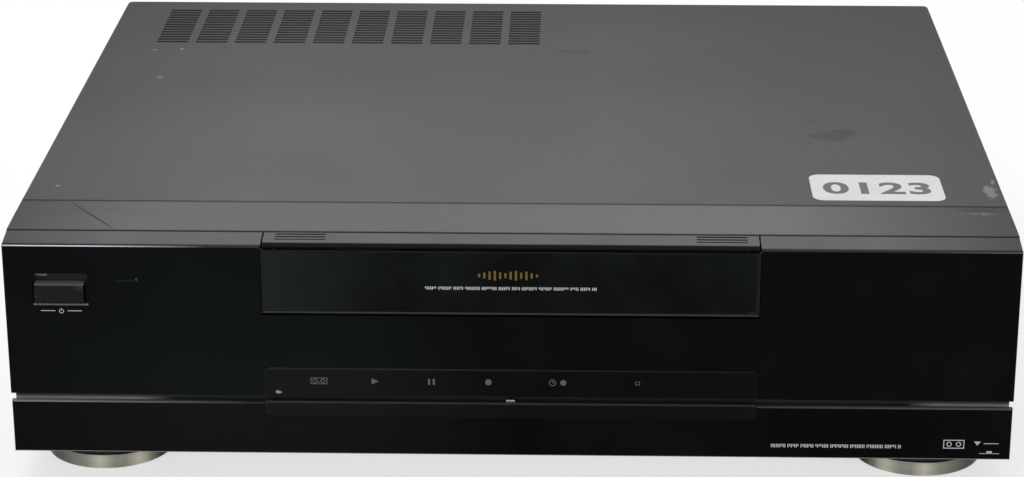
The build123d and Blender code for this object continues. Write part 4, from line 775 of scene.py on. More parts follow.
# Painted shade: the charcoal darkens towards both ends.
left_end_lighting = add(tree, "ShaderNodeMapRange", {0: across, 1: -215 * MM, 2: -165 * MM, 3: 0.75, 4: 0})
right_end_lighting = add(tree, "ShaderNodeMapRange", {0: across, 1: 160 * MM, 2: 215 * MM, 4: 0.75})
for share, code in ((left_end_lighting, "444445"), (right_end_lighting, "3C3C3D")):
    charcoal = add(tree, "ShaderNodeMix", {0: share, 6: charcoal, 7: linear(code)}, data_type="RGBA")
colour = add(tree, "ShaderNodeMix", {0: ledge_top_light, 6: colour, 7: charcoal}, data_type="RGBA")
sheen = add(tree, "ShaderNodeMath", {0: brow, 1: ledge_top_light}, operation="SUBTRACT")
sheen = add(tree, "ShaderNodeMapRange", {0: sheen, 3: 0.07, 4: 0.03})
bump = add(tree, "ShaderNodeBump", {"Height": grain, "Strength": 0.3, "Distance": 0.04 * MM})
skin = add(tree, "ShaderNodeBsdfPrincipled",
           {"Base Color": colour, "Roughness": 0.6, "Specular IOR Level": sheen, "Normal": bump})
add(tree, "ShaderNodeOutputMaterial", {0: skin})
dress(abs_black, "front_fascia", "fascia_top_moulding", "control_panel", "foot_bodies")

# ------------------------------------------------------------------ gloss plate
# One thin sheet of black acrylic covers the whole upper front. It is polished like a mirror and
# carries a few fingerprints. Its chamfered top edge and the lower lip of the button recess are
# painted pale as painted highlights, and the face is paler low down and left of the middle as a
# painted reflection.


LUMP_SHARE = 1.3


def patch(tree, place, at, size, turn=0.0, fade=0.6, ragged=0.0, upright=False):
    """A soft-edged oval on the top, or on the front: one inside, nought outside. Lengths in mm."""
    middle, axis, reach = (at[0], at[1], 0), (0, 0, 1), (size[0], size[1], 1 / MM)
    if upright:
        middle, axis, reach = (at[0], 0, at[1]), (0, 1, 0), (size[0], 1 / MM, size[1])
    spot = add(tree, "ShaderNodeMapping", {"Vector": place, "Location": Vector(middle) * MM,
                                           "Rotation": Vector(axis) * math.radians(turn),
                                           "Scale": Vector(reach) * MM}, vector_type="TEXTURE")
    away = add(tree, "ShaderNodeVectorMath", {0: spot}, operation="LENGTH")
    if ragged:
        lumps = add(tree, "ShaderNodeTexNoise",
                    {"Vector": place, "Scale": 1 / (min(size) * LUMP_SHARE * MM), "Detail": 4.0})
        uneven = add(tree, "ShaderNodeMapRange", {0: lumps, 1: 0.3, 2: 0.7, 3: -ragged, 4: ragged})
        away = add(tree, "ShaderNodeMath", {0: away, 1: uneven}, operation="ADD")
    return add(tree, "ShaderNodeMapRange", {0: away, 1: 1 - fade, 3: 1, 4: 0})


def painted_front_reflection(tree, place):
    """A painted reflection on the front: paler low down and left of the middle."""
    across, _, above = add(tree, "ShaderNodeSeparateXYZ", {0: place}).outputs
    rise = add(tree, "ShaderNodeMapRange", {0: across, 1: -215 * MM, 2: -140 * MM, 3: 0.35})
    fall = add(tree, "ShaderNodeMapRange", {0: across, 1: -75 * MM, 2: 5 * MM, 3: 1, 4: 0})
    lower = add(tree, "ShaderNodeMapRange", {0: above, 1: 100 * MM, 2: 48 * MM, 3: 0.45})
    layer = add(tree, "ShaderNodeMath", {0: rise, 1: fall}, operation="MULTIPLY")
    return add(tree, "ShaderNodeMath", {0: layer, 1: lower}, operation="MULTIPLY")


PLATE_EDGE_Z = 109.0
RECESS_LIP = ((-203, -187, 82), (-179, -184, 83.2))
acrylic, tree, place = start("polished_black_acrylic")
across, _, above = add(tree, "ShaderNodeSeparateXYZ", {0: place}).outputs
turn = facing(tree)
lumps = add(tree, "ShaderNodeTexNoise", {"Vector": place, "Scale": 1 / (38 * MM), "Detail": 6.0})
prints = add(tree, "ShaderNodeMapRange", {0: lumps, 1: 0.45, 2: 0.75})
prints = add(tree, "ShaderNodeMath", {0: prints, 1: 0.5}, operation="MULTIPLY")
# Painted reflection, low down and left of the middle, and a few fingerprints.
layer = painted_front_reflection(tree, place)
colour = add(tree, "ShaderNodeMix", {0: layer, 6: linear("050707"), 7: linear("121716")}, data_type="RGBA")
colour = add(tree, "ShaderNodeMix", {0: prints, 6: colour, 7: linear("121716")}, data_type="RGBA")
# Painted highlight on the chamfered top edge: pale lilac at the left end, brown-grey at the right, dark
# between.
left = add(tree, "ShaderNodeMapRange", {0: across, 1: -178 * MM, 2: -128 * MM, 3: 1, 4: 0})
right = add(tree, "ShaderNodeMapRange", {0: across, 1: 165 * MM, 2: 210 * MM})
painted_edge_highlight = add(tree, "ShaderNodeMix", {0: left, 6: linear("28282B"), 7: linear("C4C5D6")}, data_type="RGBA")
painted_edge_highlight = add(tree, "ShaderNodeMix", {0: right, 6: painted_edge_highlight, 7: linear("5E4F47")}, data_type="RGBA")
bevel = add(tree, "ShaderNodeMath", {0: turn[2], 1: 0.3}, operation="GREATER_THAN")
flat_top = add(tree, "ShaderNodeMath", {0: turn[2], 1: 0.95}, operation="GREATER_THAN")
high = add(tree, "ShaderNodeMath", {0: above, 1: PLATE_EDGE_Z * MM}, operation="GREATER_THAN")
edge = add(tree, "ShaderNodeMath", {0: bevel, 1: flat_top}, operation="SUBTRACT")
edge = add(tree, "ShaderNodeMath", {0: edge, 1: high}, operation="MULTIPLY")
# Painted highlight on the lower lip of the button recess.
lip_highlight = inside_box(tree, place, *RECESS_LIP)
lip_highlight = add(tree, "ShaderNodeMath", {0: bevel, 1: lip_highlight}, operation="MULTIPLY")
colour = add(tree, "ShaderNodeMix", {0: edge, 6: colour, 7: painted_edge_highlight}, data_type="RGBA")
colour = add(tree, "ShaderNodeMix", {0: lip_highlight, 6: colour, 7: linear("77777A")}, data_type="RGBA")
scuff = patch(tree, place, (-162.8, 93.9), (5.2, 0.4), turn=-3, fade=0.9, ragged=0.6, upright=True)
knock = patch(tree, place, (-158.2, 94.3), (0.8, 1.1), fade=0.8, ragged=0.3, upright=True)
scuff = add(tree, "ShaderNodeMath", {0: scuff, 1: 0.4}, operation="MULTIPLY")
scuff = add(tree, "ShaderNodeMath", {0: scuff, 1: knock}, operation="MAXIMUM")
scuff = add(tree, "ShaderNodeMath", {0: scuff, 1: 0.6}, operation="MULTIPLY")
colour = add(tree, "ShaderNodeMix", {0: scuff, 6: colour, 7: linear("55585A")}, data_type="RGBA")
lumps = add(tree, "ShaderNodeTexNoise", {"Vector": place, "Scale": 1 / (22 * MM), "Detail": 6.0})
rough = add(tree, "ShaderNodeMapRange", {0: lumps, 1: 0.4, 2: 0.75, 3: 0.07, 4: 0.22})
skin = add(tree, "ShaderNodeBsdfPrincipled",
           {"Base Color": colour, "Roughness": rough, "Specular IOR Level": 0.03})
add(tree, "ShaderNodeOutputMaterial", {0: skin})
dress(acrylic, "front_plate")

# ------------------------------------------------------------------ bright strip in the notch
# A moulding behind the notch between the plate and the lower door, lacquered satin silver. It is
# painted pale towards both ends and near black in between, a painted reflection, and darker
# towards its top, a painted shade under the plate.
lacquer, tree, place = start("satin_silver_lacquer")
across, _, above = add(tree, "ShaderNodeSeparateXYZ", {0: place}).outputs
# Painted reflection: pale at both ends.
left_end_lighting = add(tree, "ShaderNodeMapRange", {0: across, 1: -160 * MM, 2: -146 * MM, 3: 1, 4: 0})
right_end_lighting = add(tree, "ShaderNodeMapRange", {0: across, 1: 170 * MM, 2: 181 * MM})
ends = add(tree, "ShaderNodeMath", {0: left_end_lighting, 1: right_end_lighting}, operation="MAXIMUM")
haze = add(tree, "ShaderNodeTexNoise", {"Vector": place, "Scale": 1 / (9 * MM), "Detail": 3.0})
bright = add(tree, "ShaderNodeMix", {0: haze, 6: linear("B0B0A0"), 7: linear("C0C0B0")}, data_type="RGBA")
# Painted shade: darker towards the top, under the overhang of the plate.
shade = add(tree, "ShaderNodeMapRange", {0: above, 1: 37.2 * MM, 2: 38.9 * MM})
bright = add(tree, "ShaderNodeMix", {0: shade, 6: bright, 7: linear("292926")}, data_type="RGBA")
colour = add(tree, "ShaderNodeMix", {0: ends, 6: linear("191918"), 7: bright}, data_type="RGBA")
skin = add(tree, "ShaderNodeBsdfPrincipled",
           {"Base Color": colour, "Metallic": 0.25, "Roughness": 0.42, "Specular IOR Level": 0.3})
add(tree, "ShaderNodeOutputMaterial", {0: skin})
dress(lacquer, "trim_strip")

# The catch in the middle of the notch is plain nickel plate, worn dull by the door.
nickel, tree, place = start("nickel_plated_steel")
worn = add(tree, "ShaderNodeTexNoise", {"Vector": place, "Scale": 1 / (0.8 * MM), "Detail": 3.0})
colour = add(tree, "ShaderNodeMix", {0: worn, 6: linear("B4B3AC"), 7: linear("D8D7D0")}, data_type="RGBA")
rough = add(tree, "ShaderNodeMapRange", {0: worn, 1: 0.3, 2: 0.7, 3: 0.25, 4: 0.45})
skin = add(tree, "ShaderNodeBsdfPrincipled", {"Base Color": colour, "Metallic": 1.0, "Roughness": rough})
add(tree, "ShaderNodeOutputMaterial", {0: skin})
dress(nickel, "door_catch")

# ------------------------------------------------------------------ display
# A sealed glass tube with a fine dark grid stands behind a smoked acrylic pane. The pane is split
# at the notch, and its lower part opens with the lower door.
tube_glass, tree, place = start("display_tube_glass")
BLACK, WHITE = (0, 0, 0, 1), (1, 1, 1, 1)
cells = add(tree, "ShaderNodeTexChecker", {"Vector": place, "Scale": 1 / (1.2 * MM), "Color1": BLACK,
                                           "Color2": WHITE}).outputs["Fac"]
colour = add(tree, "ShaderNodeMix", {0: cells, 6: linear("151A19"), 7: linear("232B29")}, data_type="RGBA")
skin = add(tree, "ShaderNodeBsdfPrincipled",
           {"Base Color": colour, "Roughness": 0.08, "Coat Weight": 0.6, "Coat Roughness": 0.03})
add(tree, "ShaderNodeOutputMaterial", {0: skin})
dress(tube_glass, "display_tube")

NOTCH_FLOOR_Z = 40
smoked, tree, place = start("smoked_acrylic")
across, _, above = add(tree, "ShaderNodeSeparateXYZ", {0: place}).outputs
turn = facing(tree)
lumps = add(tree, "ShaderNodeTexNoise", {"Vector": place, "Scale": 1 / (24 * MM), "Detail": 6.0})
haze = add(tree, "ShaderNodeMapRange", {0: lumps, 1: 0.4, 2: 0.7})
below = add(tree, "ShaderNodeMapRange", {0: above, 1: 41 * MM, 2: 39 * MM, 4: 0.2})
# A small pale spot on the left of the upper pane.
pale_spot = patch(tree, place, (-99.3, 43.5), (1.5, 0.85), turn=15, fade=0.4, ragged=0.3, upright=True)
pale_spot = add(tree, "ShaderNodeMath", {0: pale_spot, 1: 0.8}, operation="MULTIPLY")
face = add(tree, "ShaderNodeMix", {0: haze, 6: linear("060808"), 7: linear("0D100F")}, data_type="RGBA")
# Painted reflection, low down and left of the middle; the pane is also paler from 41 mm down to 39 mm.
for share, code in ((painted_front_reflection(tree, place), "171B1A"), (below, "1E2020"), (pale_spot, "B4B4B0")):
    face = add(tree, "ShaderNodeMix", {0: share, 6: face, 7: linear(code)}, data_type="RGBA")
# Painted highlights on the pane's edges: paler towards the left, palest on the upward top edge of the lower
# pane.
left = add(tree, "ShaderNodeMapRange", {0: across, 1: -105 * MM, 2: 105 * MM, 3: 1, 4: 0})
edge = add(tree, "ShaderNodeMix", {0: left, 6: linear("18191A"), 7: linear("242526")}, data_type="RGBA")
facing_up = add(tree, "ShaderNodeMath", {0: turn[2], 1: 0.3}, operation="GREATER_THAN")
low = add(tree, "ShaderNodeMath", {0: above, 1: NOTCH_FLOOR_Z * MM}, operation="LESS_THAN")
rim = add(tree, "ShaderNodeMath", {0: facing_up, 1: low}, operation="MULTIPLY")
edge = add(tree, "ShaderNodeMix", {0: rim, 6: edge, 7: linear("323234")}, data_type="RGBA")
front_on = add(tree, "ShaderNodeMath", {0: turn[1], 1: -0.9}, operation="LESS_THAN")
colour = add(tree, "ShaderNodeMix", {0: front_on, 6: edge, 7: face}, data_type="RGBA")
rough = add(tree, "ShaderNodeMapRange", {0: haze, 3: 0.08, 4: 0.2})
skin = add(tree, "ShaderNodeBsdfPrincipled",
           {"Base Color": colour, "Roughness": rough, "Specular IOR Level": 0.03})
add(tree, "ShaderNodeOutputMaterial", {0: skin})
dress(smoked, "display_lens", "door_lens")

# ------------------------------------------------------------------ cassette lid
# Gloss black moulding with a long bevel down both ends and along the bottom, hinged at the top.
# The bevels are polished. The ends and the bottom bevel are painted paler as painted highlights,
# the top fillet darker as painted shade, and the face is paler towards the left as a painted
# reflection.
lid_gloss, tree, place = start("gloss_black_abs")
across, _, _ = add(tree, "ShaderNodeSeparateXYZ", {0: place}).outputs
turn = facing(tree)
lumps = add(tree, "ShaderNodeTexNoise", {"Vector": place, "Scale": 1 / (30 * MM), "Detail": 6.0})
haze = add(tree, "ShaderNodeMapRange", {0: lumps, 1: 0.4, 2: 0.72})
face = add(tree, "ShaderNodeMix", {0: haze, 6: linear("070A09"), 7: linear("131817")}, data_type="RGBA")
# Painted reflection: the face is paler towards the left.
left = add(tree, "ShaderNodeMapRange", {0: across, 1: -104 * MM, 2: -48 * MM, 3: 1, 4: 0})
left = add(tree, "ShaderNodeMath", {0: left, 1: 0.8}, operation="MULTIPLY")
face = add(tree, "ShaderNodeMix", {0: left, 6: face, 7: linear("232A28")}, data_type="RGBA")
# Painted highlight on the bottom bevel, painted shade on the top fillet.
low = add(tree, "ShaderNodeMath", {0: turn[2], 1: -0.3}, operation="LESS_THAN")
high = add(tree, "ShaderNodeMath", {0: turn[2], 1: 0.3}, operation="GREATER_THAN")
edge = add(tree, "ShaderNodeMix", {0: low, 6: linear("202122"), 7: linear("444446")}, data_type="RGBA")
edge = add(tree, "ShaderNodeMix", {0: high, 6: edge, 7: linear("0B0C0C")}, data_type="RGBA")
front_on = add(tree, "ShaderNodeMath", {0: turn[1], 1: -0.97}, operation="LESS_THAN")
colour = add(tree, "ShaderNodeMix", {0: front_on, 6: edge, 7: face}, data_type="RGBA")
rough = add(tree, "ShaderNodeMapRange", {0: haze, 3: 0.12, 4: 0.28})
skin = add(tree, "ShaderNodeBsdfPrincipled",
           {"Base Color": colour, "Roughness": rough, "Specular IOR Level": 0.04})
add(tree, "ShaderNodeOutputMaterial", {0: skin})
dress(lid_gloss, "cassette_door")

# ------------------------------------------------------------------ power button and lamp
# Satin black button with rounded edges. Its face is scuffed by fingers, and its flat top is painted
# pale grey, a painted light. The light bar above it is a milky diffuser, faintly red while it is unlit.
satin, tree, place = start("satin_black_abs")
scuffs = add(tree, "ShaderNodeMapping",
             {"Vector": place, "Rotation": (0, math.radians(12), 0), "Scale": (0.12, 1, 1)})
lumps = add(tree, "ShaderNodeTexNoise", {"Vector": scuffs, "Scale": 1 / (1.4 * MM), "Detail": 4.0})
scuffs = add(tree, "ShaderNodeMapRange", {0: lumps, 1: 0.6, 2: 0.72})
lit_top_face = add(tree, "ShaderNodeMath", {0: facing(tree)[2], 1: 0.95}, operation="GREATER_THAN")
colour = add(tree, "ShaderNodeMix", {0: scuffs, 6: linear("0F0F10"), 7: linear("2E2E30")}, data_type="RGBA")
colour = add(tree, "ShaderNodeMix", {0: lit_top_face, 6: colour, 7: linear("6C6C6E")}, data_type="RGBA")
grain = add(tree, "ShaderNodeTexNoise", {"Vector": place, "Scale": 1 / (0.4 * MM)})
bump = add(tree, "ShaderNodeBump", {"Height": grain, "Strength": 0.2, "Distance": 0.03 * MM})
skin = add(tree, "ShaderNodeBsdfPrincipled",
           {"Base Color": colour, "Roughness": 0.4, "Specular IOR Level": 0.12, "Normal": bump})
add(tree, "ShaderNodeOutputMaterial", {0: skin})
dress(satin, "power_button")

diffuser, tree, place = start("smoked_red_diffuser")
milk = add(tree, "ShaderNodeTexNoise", {"Vector": place, "Scale": 1 / (1.0 * MM), "Detail": 3.0})
colour = add(tree, "ShaderNodeMix", {0: milk, 6: linear("7A6C69"), 7: linear("978985")}, data_type="RGBA")
skin = add(tree, "ShaderNodeBsdfPrincipled", {"Base Color": colour, "Roughness": 0.35})
add(tree, "ShaderNodeOutputMaterial", {0: skin})
dress(diffuser, "power_lamp")

# ------------------------------------------------------------------ lower door
# The same polished acrylic look in a moulded door. Its top and bottom edges are chamfered, and
# their thin pale lines are painted highlights, brightest on the left of the top edge.
DOOR_TOP_Z = 37.4
DOOR_FOOT_Z = 15
door_gloss, tree, place = start("gloss_black_door_moulding")
across, _, above = add(tree, "ShaderNodeSeparateXYZ", {0: place}).outputs
turn = facing(tree)
lumps = add(tree, "ShaderNodeTexNoise", {"Vector": place, "Scale": 1 / (34 * MM), "Detail": 6.0})
prints = add(tree, "ShaderNodeMapRange", {0: lumps, 1: 0.45, 2: 0.75})
prints = add(tree, "ShaderNodeMath", {0: prints, 1: 0.5}, operation="MULTIPLY")
# Painted reflection, low down and left of the middle, and a few fingerprints.
layer = painted_front_reflection(tree, place)
colour = add(tree, "ShaderNodeMix", {0: layer, 6: linear("050606"), 7: linear("141615")}, data_type="RGBA")
colour = add(tree, "ShaderNodeMix", {0: prints, 6: colour, 7: linear("131616")}, data_type="RGBA")
# Painted highlight on the top edge: paler at the left end and a little at the right.
left = add(tree, "ShaderNodeMapRange", {0: across, 1: -200 * MM, 2: -110 * MM, 3: 1, 4: 0})
right = add(tree, "ShaderNodeMapRange", {0: across, 1: 60 * MM, 2: 190 * MM})
painted_edge_highlight = add(tree, "ShaderNodeMix", {0: left, 6: linear("333336"), 7: linear("7E7E88")}, data_type="RGBA")
painted_edge_highlight = add(tree, "ShaderNodeMix", {0: right, 6: painted_edge_highlight, 7: linear("565658")}, data_type="RGBA")
edge_highlights = []
# Masks of the chamfers that carry the painted highlights, top and bottom.
for test, slope, level in (("GREATER_THAN", 0.3, DOOR_TOP_Z), ("LESS_THAN", -0.3, DOOR_FOOT_Z)):
    sloped = add(tree, "ShaderNodeMath", {0: turn[2], 1: slope}, operation=test)
    placed = add(tree, "ShaderNodeMath", {0: above, 1: level * MM}, operation=test)
    edge_highlights.append(add(tree, "ShaderNodeMath", {0: sloped, 1: placed}, operation="MULTIPLY"))
colour = add(tree, "ShaderNodeMix", {0: edge_highlights[0], 6: colour, 7: painted_edge_highlight}, data_type="RGBA")
colour = add(tree, "ShaderNodeMix", {0: edge_highlights[1], 6: colour, 7: linear("A6A6A8")}, data_type="RGBA")
lumps = add(tree, "ShaderNodeTexNoise", {"Vector": place, "Scale": 1 / (22 * MM), "Detail": 6.0})
rough = add(tree, "ShaderNodeMapRange", {0: lumps, 1: 0.4, 2: 0.75, 3: 0.07, 4: 0.22})
skin = add(tree, "ShaderNodeBsdfPrincipled",
           {"Base Color": colour, "Roughness": rough, "Specular IOR Level": 0.03})
add(tree, "ShaderNodeOutputMaterial", {0: skin})
dress(door_gloss, "control_door")

# ------------------------------------------------------------------ controls behind the lower door
# Keys, knobs and the level slider are satin dark grey mouldings with a fine even grain, polished a
# little where fingers rub them. They sit on the inner panel and show when the door is down.
grey_abs, tree, place = start("satin_grey_abs")
grain = add(tree, "ShaderNodeTexNoise", {"Vector": place, "Scale": 1 / (0.4 * MM), "Detail": 3.0})
lumps = add(tree, "ShaderNodeTexNoise", {"Vector": place, "Scale": 1 / (5 * MM), "Detail": 4.0})
wear = add(tree, "ShaderNodeMapRange", {0: lumps, 1: 0.45, 2: 0.75})
colour = add(tree, "ShaderNodeMix", {0: wear, 6: linear("5A5A5C"), 7: linear("6C6C6E")}, data_type="RGBA")
rough = add(tree, "ShaderNodeMapRange", {0: wear, 3: 0.5, 4: 0.34})
bump = add(tree, "ShaderNodeBump", {"Height": grain, "Strength": 0.25, "Distance": 0.03 * MM})
skin = add(tree, "ShaderNodeBsdfPrincipled", {"Base Color": colour, "Roughness": rough, "Normal": bump})
add(tree, "ShaderNodeOutputMaterial", {0: skin})
dress(grey_abs, "tracking_knob", "jog_dial", "level_slider")
dress(grey_abs, *["key_" + name for name in ("eject", "rewind", "play", "forward", "stop", "record")])

# ------------------------------------------------------------------ steel cover
# The cover is one sheet of steel, sprayed charcoal and baked. The paint dries to a fine, matt,
# evenly speckled skin, which has taken smears, a stain and a hairline scratch in use.
STEP_Y = -138.1
TOP_Z = 108
charcoal_paint, tree, place = start("baked_charcoal_paint")
across, along, above = add(tree, "ShaderNodeSeparateXYZ", {0: place}).outputs
speckle = add(tree, "ShaderNodeTexNoise", {"Vector": place, "Scale": 1 / (0.9 * MM), "Detail": 3.0})
cloud = add(tree, "ShaderNodeTexNoise", {"Vector": place, "Scale": 1 / (95 * MM), "Detail": 4.0})
cloud = add(tree, "ShaderNodeMapRange", {0: cloud, 1: 0.3, 2: 0.7})
colour = add(tree, "ShaderNodeMix", {0: cloud, 6: linear("595959"), 7: linear("5F5F5F")}, data_type="RGBA")
# Painted shade: the paint darkens towards the left and right sides and towards the rear.
left = add(tree, "ShaderNodeMapRange", {0: across, 1: -215 * MM, 2: -120 * MM, 3: 1, 4: 0})
right = add(tree, "ShaderNodeMapRange", {0: across, 1: 40 * MM, 2: 215 * MM})
rear = add(tree, "ShaderNodeMapRange", {0: along, 1: -60 * MM, 2: 175 * MM})
for where, strength, code in ((left, 0.75, "474747"), (right, 0.7, "464646"), (rear, 0.6, "383838")):
    share = add(tree, "ShaderNodeMath", {0: where, 1: strength}, operation="MULTIPLY")
    colour = add(tree, "ShaderNodeMix", {0: share, 6: colour, 7: linear(code)}, data_type="RGBA")

# The sloped step along the front edge is painted paler, a painted light, darker again towards its
# ends, and the fold in front of it is painted dark, a painted shade.
middle = add(tree, "ShaderNodeMapRange", {0: across, 1: -40 * MM, 2: 60 * MM})
right = add(tree, "ShaderNodeMapRange", {0: across, 1: 118 * MM, 2: 210 * MM})
left = add(tree, "ShaderNodeMapRange", {0: across, 1: -215 * MM, 2: -160 * MM, 3: 1, 4: 0})
step_light = linear("636363")
for share, code in ((middle, "6A6A6A"), (right, "474747"), (left, "484848")):
    step_light = add(tree, "ShaderNodeMix", {0: share, 6: step_light, 7: linear(code)}, data_type="RGBA")
before_step = add(tree, "ShaderNodeMath", {0: along, 1: STEP_Y * MM}, operation="LESS_THAN")
on_top = add(tree, "ShaderNodeMath", {0: above, 1: TOP_Z * MM}, operation="GREATER_THAN")
step = add(tree, "ShaderNodeMath", {0: before_step, 1: on_top}, operation="MULTIPLY")
colour = add(tree, "ShaderNodeMix", {0: step, 6: colour, 7: step_light}, data_type="RGBA")
fold_shade = add(tree, "ShaderNodeMapRange", {0: along, 1: -171.9 * MM, 2: -170.7 * MM, 3: 1, 4: 0})
fold_shade = add(tree, "ShaderNodeMath", {0: fold_shade, 1: 0.9}, operation="MULTIPLY")
colour = add(tree, "ShaderNodeMix", {0: fold_shade, 6: colour, 7: linear("1C1C1C")}, data_type="RGBA")

# Marks of use: place, half sizes, turn in degrees, fade, raggedness and, on the dark ones, strength.
DARK_MARKS = [((146, -43), (11, 8), 10, 0.35, 0.35, 1.0), ((152, -38), (6, 8), 60, 0.35, 0.3, 1.0),
              ((141, -45), (7, 5), 0, 0.35, 0.3, 1.0), ((24, 89.5), (11, 2.2), -6, 0.5, 0.3, 1.0),
              ((31, 87.8), (4, 3), 0, 0.6, 0.3, 1.0), ((-196, -152), (26, 11), 8, 0.8, 0.25, 0.3),
              ((-162, -150), (16, 8), -10, 0.8, 0.25, 0.3), ((135, -23), (12, 6), 8, 0.8, 0.4, 0.3),
              ((120, -30), (9, 4), 0, 0.9, 0.4, 0.25), ((-160, 35), (70, 30), 10, 1.0, 0.3, 0.2),
              ((-205, 10), (14, 60), 4, 1.0, 0.3, 0.25), ((-70, 150), (150, 40), 0, 0.9, 0.2, 0.35),
              ((205, -30), (16, 110), 0, 0.9, 0.2, 0.25), ((10, 20), (150, 90), 0, 1.0, 0.2, 0.18)]
LIGHT_MARKS = [((209.5, -120), (3.6, 9), 0, 0.5, 0.35), ((212, -107), (1.0, 4), -8, 0.5, 0.3),
               ((-179, 41.9), (2.2, 1.8), 0, 0.5, 0.3), ((-188, 87.9), (1.6, 1.6), 0, 0.5, 0.3),
               ((-174.5, 90), (1.2, 1.8), 0, 0.5, 0.3), ((-202, -120), (1.4, 1.2), 0, 0.5, 0.3)]
SPECKLE_SHARE = 0.07
dark = light = 0.0
for at, size, turn, fade, ragged, share in DARK_MARKS:
    mark = patch(tree, place, at, size, turn, fade, ragged)
    mark = add(tree, "ShaderNodeMath", {0: mark, 1: share}, operation="MULTIPLY")
    dark = add(tree, "ShaderNodeMath", {0: dark, 1: mark}, operation="MAXIMUM")
for at, size, turn, fade, ragged in LIGHT_MARKS:
    mark = patch(tree, place, at, size, turn, fade, ragged)
    light = add(tree, "ShaderNodeMath", {0: light, 1: mark}, operation="MAXIMUM")
scratch = patch(tree, place, (-181.2, -155), (22.3, 0.6), turn=-53, fade=0.25)
scuff = patch(tree, place, (201, -142.4), (9.5, 0.9), fade=0.4, ragged=0.3)
rubbed = patch(tree, place, (202, -146), (9, 1.6), ragged=0.6)
for mark, strength, code in ((dark, 0.55, "3E3E3E"), (light, 0.5, "8C8C8A"), (scratch, 0.9, "2E2E2E"),
                             (scuff, 0.8, "343434"), (rubbed, 0.4, "828280")):
    share = add(tree, "ShaderNodeMath", {0: mark, 1: strength}, operation="MULTIPLY")
    colour = add(tree, "ShaderNodeMix", {0: share, 6: colour, 7: linear(code)}, data_type="RGBA")
sparkle = add(tree, "ShaderNodeMapRange", {0: speckle, 1: 0.35, 2: 0.65})
sparkle = add(tree, "ShaderNodeMix", {0: sparkle, 6: BLACK, 7: WHITE}, data_type="RGBA")
colour = add(tree, "ShaderNodeMix", {0: SPECKLE_SHARE, 6: colour, 7: sparkle}, data_type="RGBA",
             blend_type="OVERLAY")
rough = add(tree, "ShaderNodeMapRange", {0: light, 3: 0.62, 4: 0.45})
bump = add(tree, "ShaderNodeBump", {"Height": speckle, "Strength": 0.35, "Distance": 0.06 * MM})
skin = add(tree, "ShaderNodeBsdfPrincipled",
           {"Base Color": colour, "Roughness": rough, "Specular IOR Level": 0.08, "Normal": bump})
add(tree, "ShaderNodeOutputMaterial", {0: skin})
dress(charcoal_paint, "top_cover")

# ------------------------------------------------------------------ counter label
# White paper with rounded corners, stuck on by hand and printed with large plain figures. The paper
# has gone a little grey and uneven, and the toner is thin in places.
LABEL_SIZE = (131, 189, -132, -98)
LABEL_Z = (112.8, 112.9)
LABEL_CORNER = 5.0


def slab(name, outlines, shape, material):
    """Thin closed plates. Each outline is a loop of flat points, and shape places a point on a side."""
    build = bmesh.new()
    for outline in outlines:
        below = [build.verts.new(shape(a, b, 0)) for a, b in outline]
        above = [build.verts.new(shape(a, b, 1)) for a, b in outline]
        build.faces.new(below)
        build.faces.new(above)
        for i in range(len(outline)):
            j = (i + 1) % len(outline)
            build.faces.new((below[i], below[j], above[j], above[i]))
    bmesh.ops.recalc_face_normals(build, faces=build.faces)
    mesh = bpy.data.meshes.new(name)
    build.to_mesh(mesh)
    build.free()
    mesh.materials.append(material)
    piece = bpy.data.objects.new(name, mesh)
    scene.collection.objects.link(piece)
    return piece


def arc(centre, radius, start_at, end_at, steps):
    """Points along an arc, angles in degrees."""
    turns = [math.radians(start_at + (end_at - start_at) * i / steps) for i in range(steps + 1)]
    return [(centre[0] + radius * math.cos(t), centre[1] + radius * math.sin(t)) for t in turns]


def rounded(x0, x1, y0, y1, corner):
    """The outline of a rectangle with round corners."""
    loop = []
    for centre, first in (((x1 - corner, y1 - corner), 0), ((x0 + corner, y1 - corner), 90),
                          ((x0 + corner, y0 + corner), 180), ((x1 - corner, y0 + corner), 270)):
        loop += arc(centre, corner, first, first + 90, 8)
    return loop


paper, tree, place = start("matt_white_label_paper")
fibre = add(tree, "ShaderNodeTexNoise", {"Vector": place, "Scale": 1 / (0.7 * MM), "Detail": 5.0})
lumps = add(tree, "ShaderNodeTexNoise", {"Vector": place, "Scale": 1 / (12 * MM), "Detail": 5.0})
soil = add(tree, "ShaderNodeMapRange", {0: lumps, 1: 0.45, 2: 0.8})
colour = add(tree, "ShaderNodeMix", {0: soil, 6: linear("D4D4D5"), 7: linear("C9C9C8")}, data_type="RGBA")
share = add(tree, "ShaderNodeMapRange", {0: fibre, 1: 0.3, 2: 0.7, 4: 0.25})
colour = add(tree, "ShaderNodeMix", {0: share, 6: colour, 7: linear("BDBDBC")}, data_type="RGBA")
bump = add(tree, "ShaderNodeBump", {"Height": fibre, "Strength": 0.2, "Distance": 0.03 * MM})
skin = add(tree, "ShaderNodeBsdfPrincipled", {"Base Color": colour, "Roughness": 0.8, "Normal": bump})
add(tree, "ShaderNodeOutputMaterial", {0: skin})
label = slab("counter_label", [rounded(*LABEL_SIZE, LABEL_CORNER)],
             lambda a, b, side: (a * MM, b * MM, LABEL_Z[side] * MM), paper)
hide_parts("cover_label")
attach(label, "case")

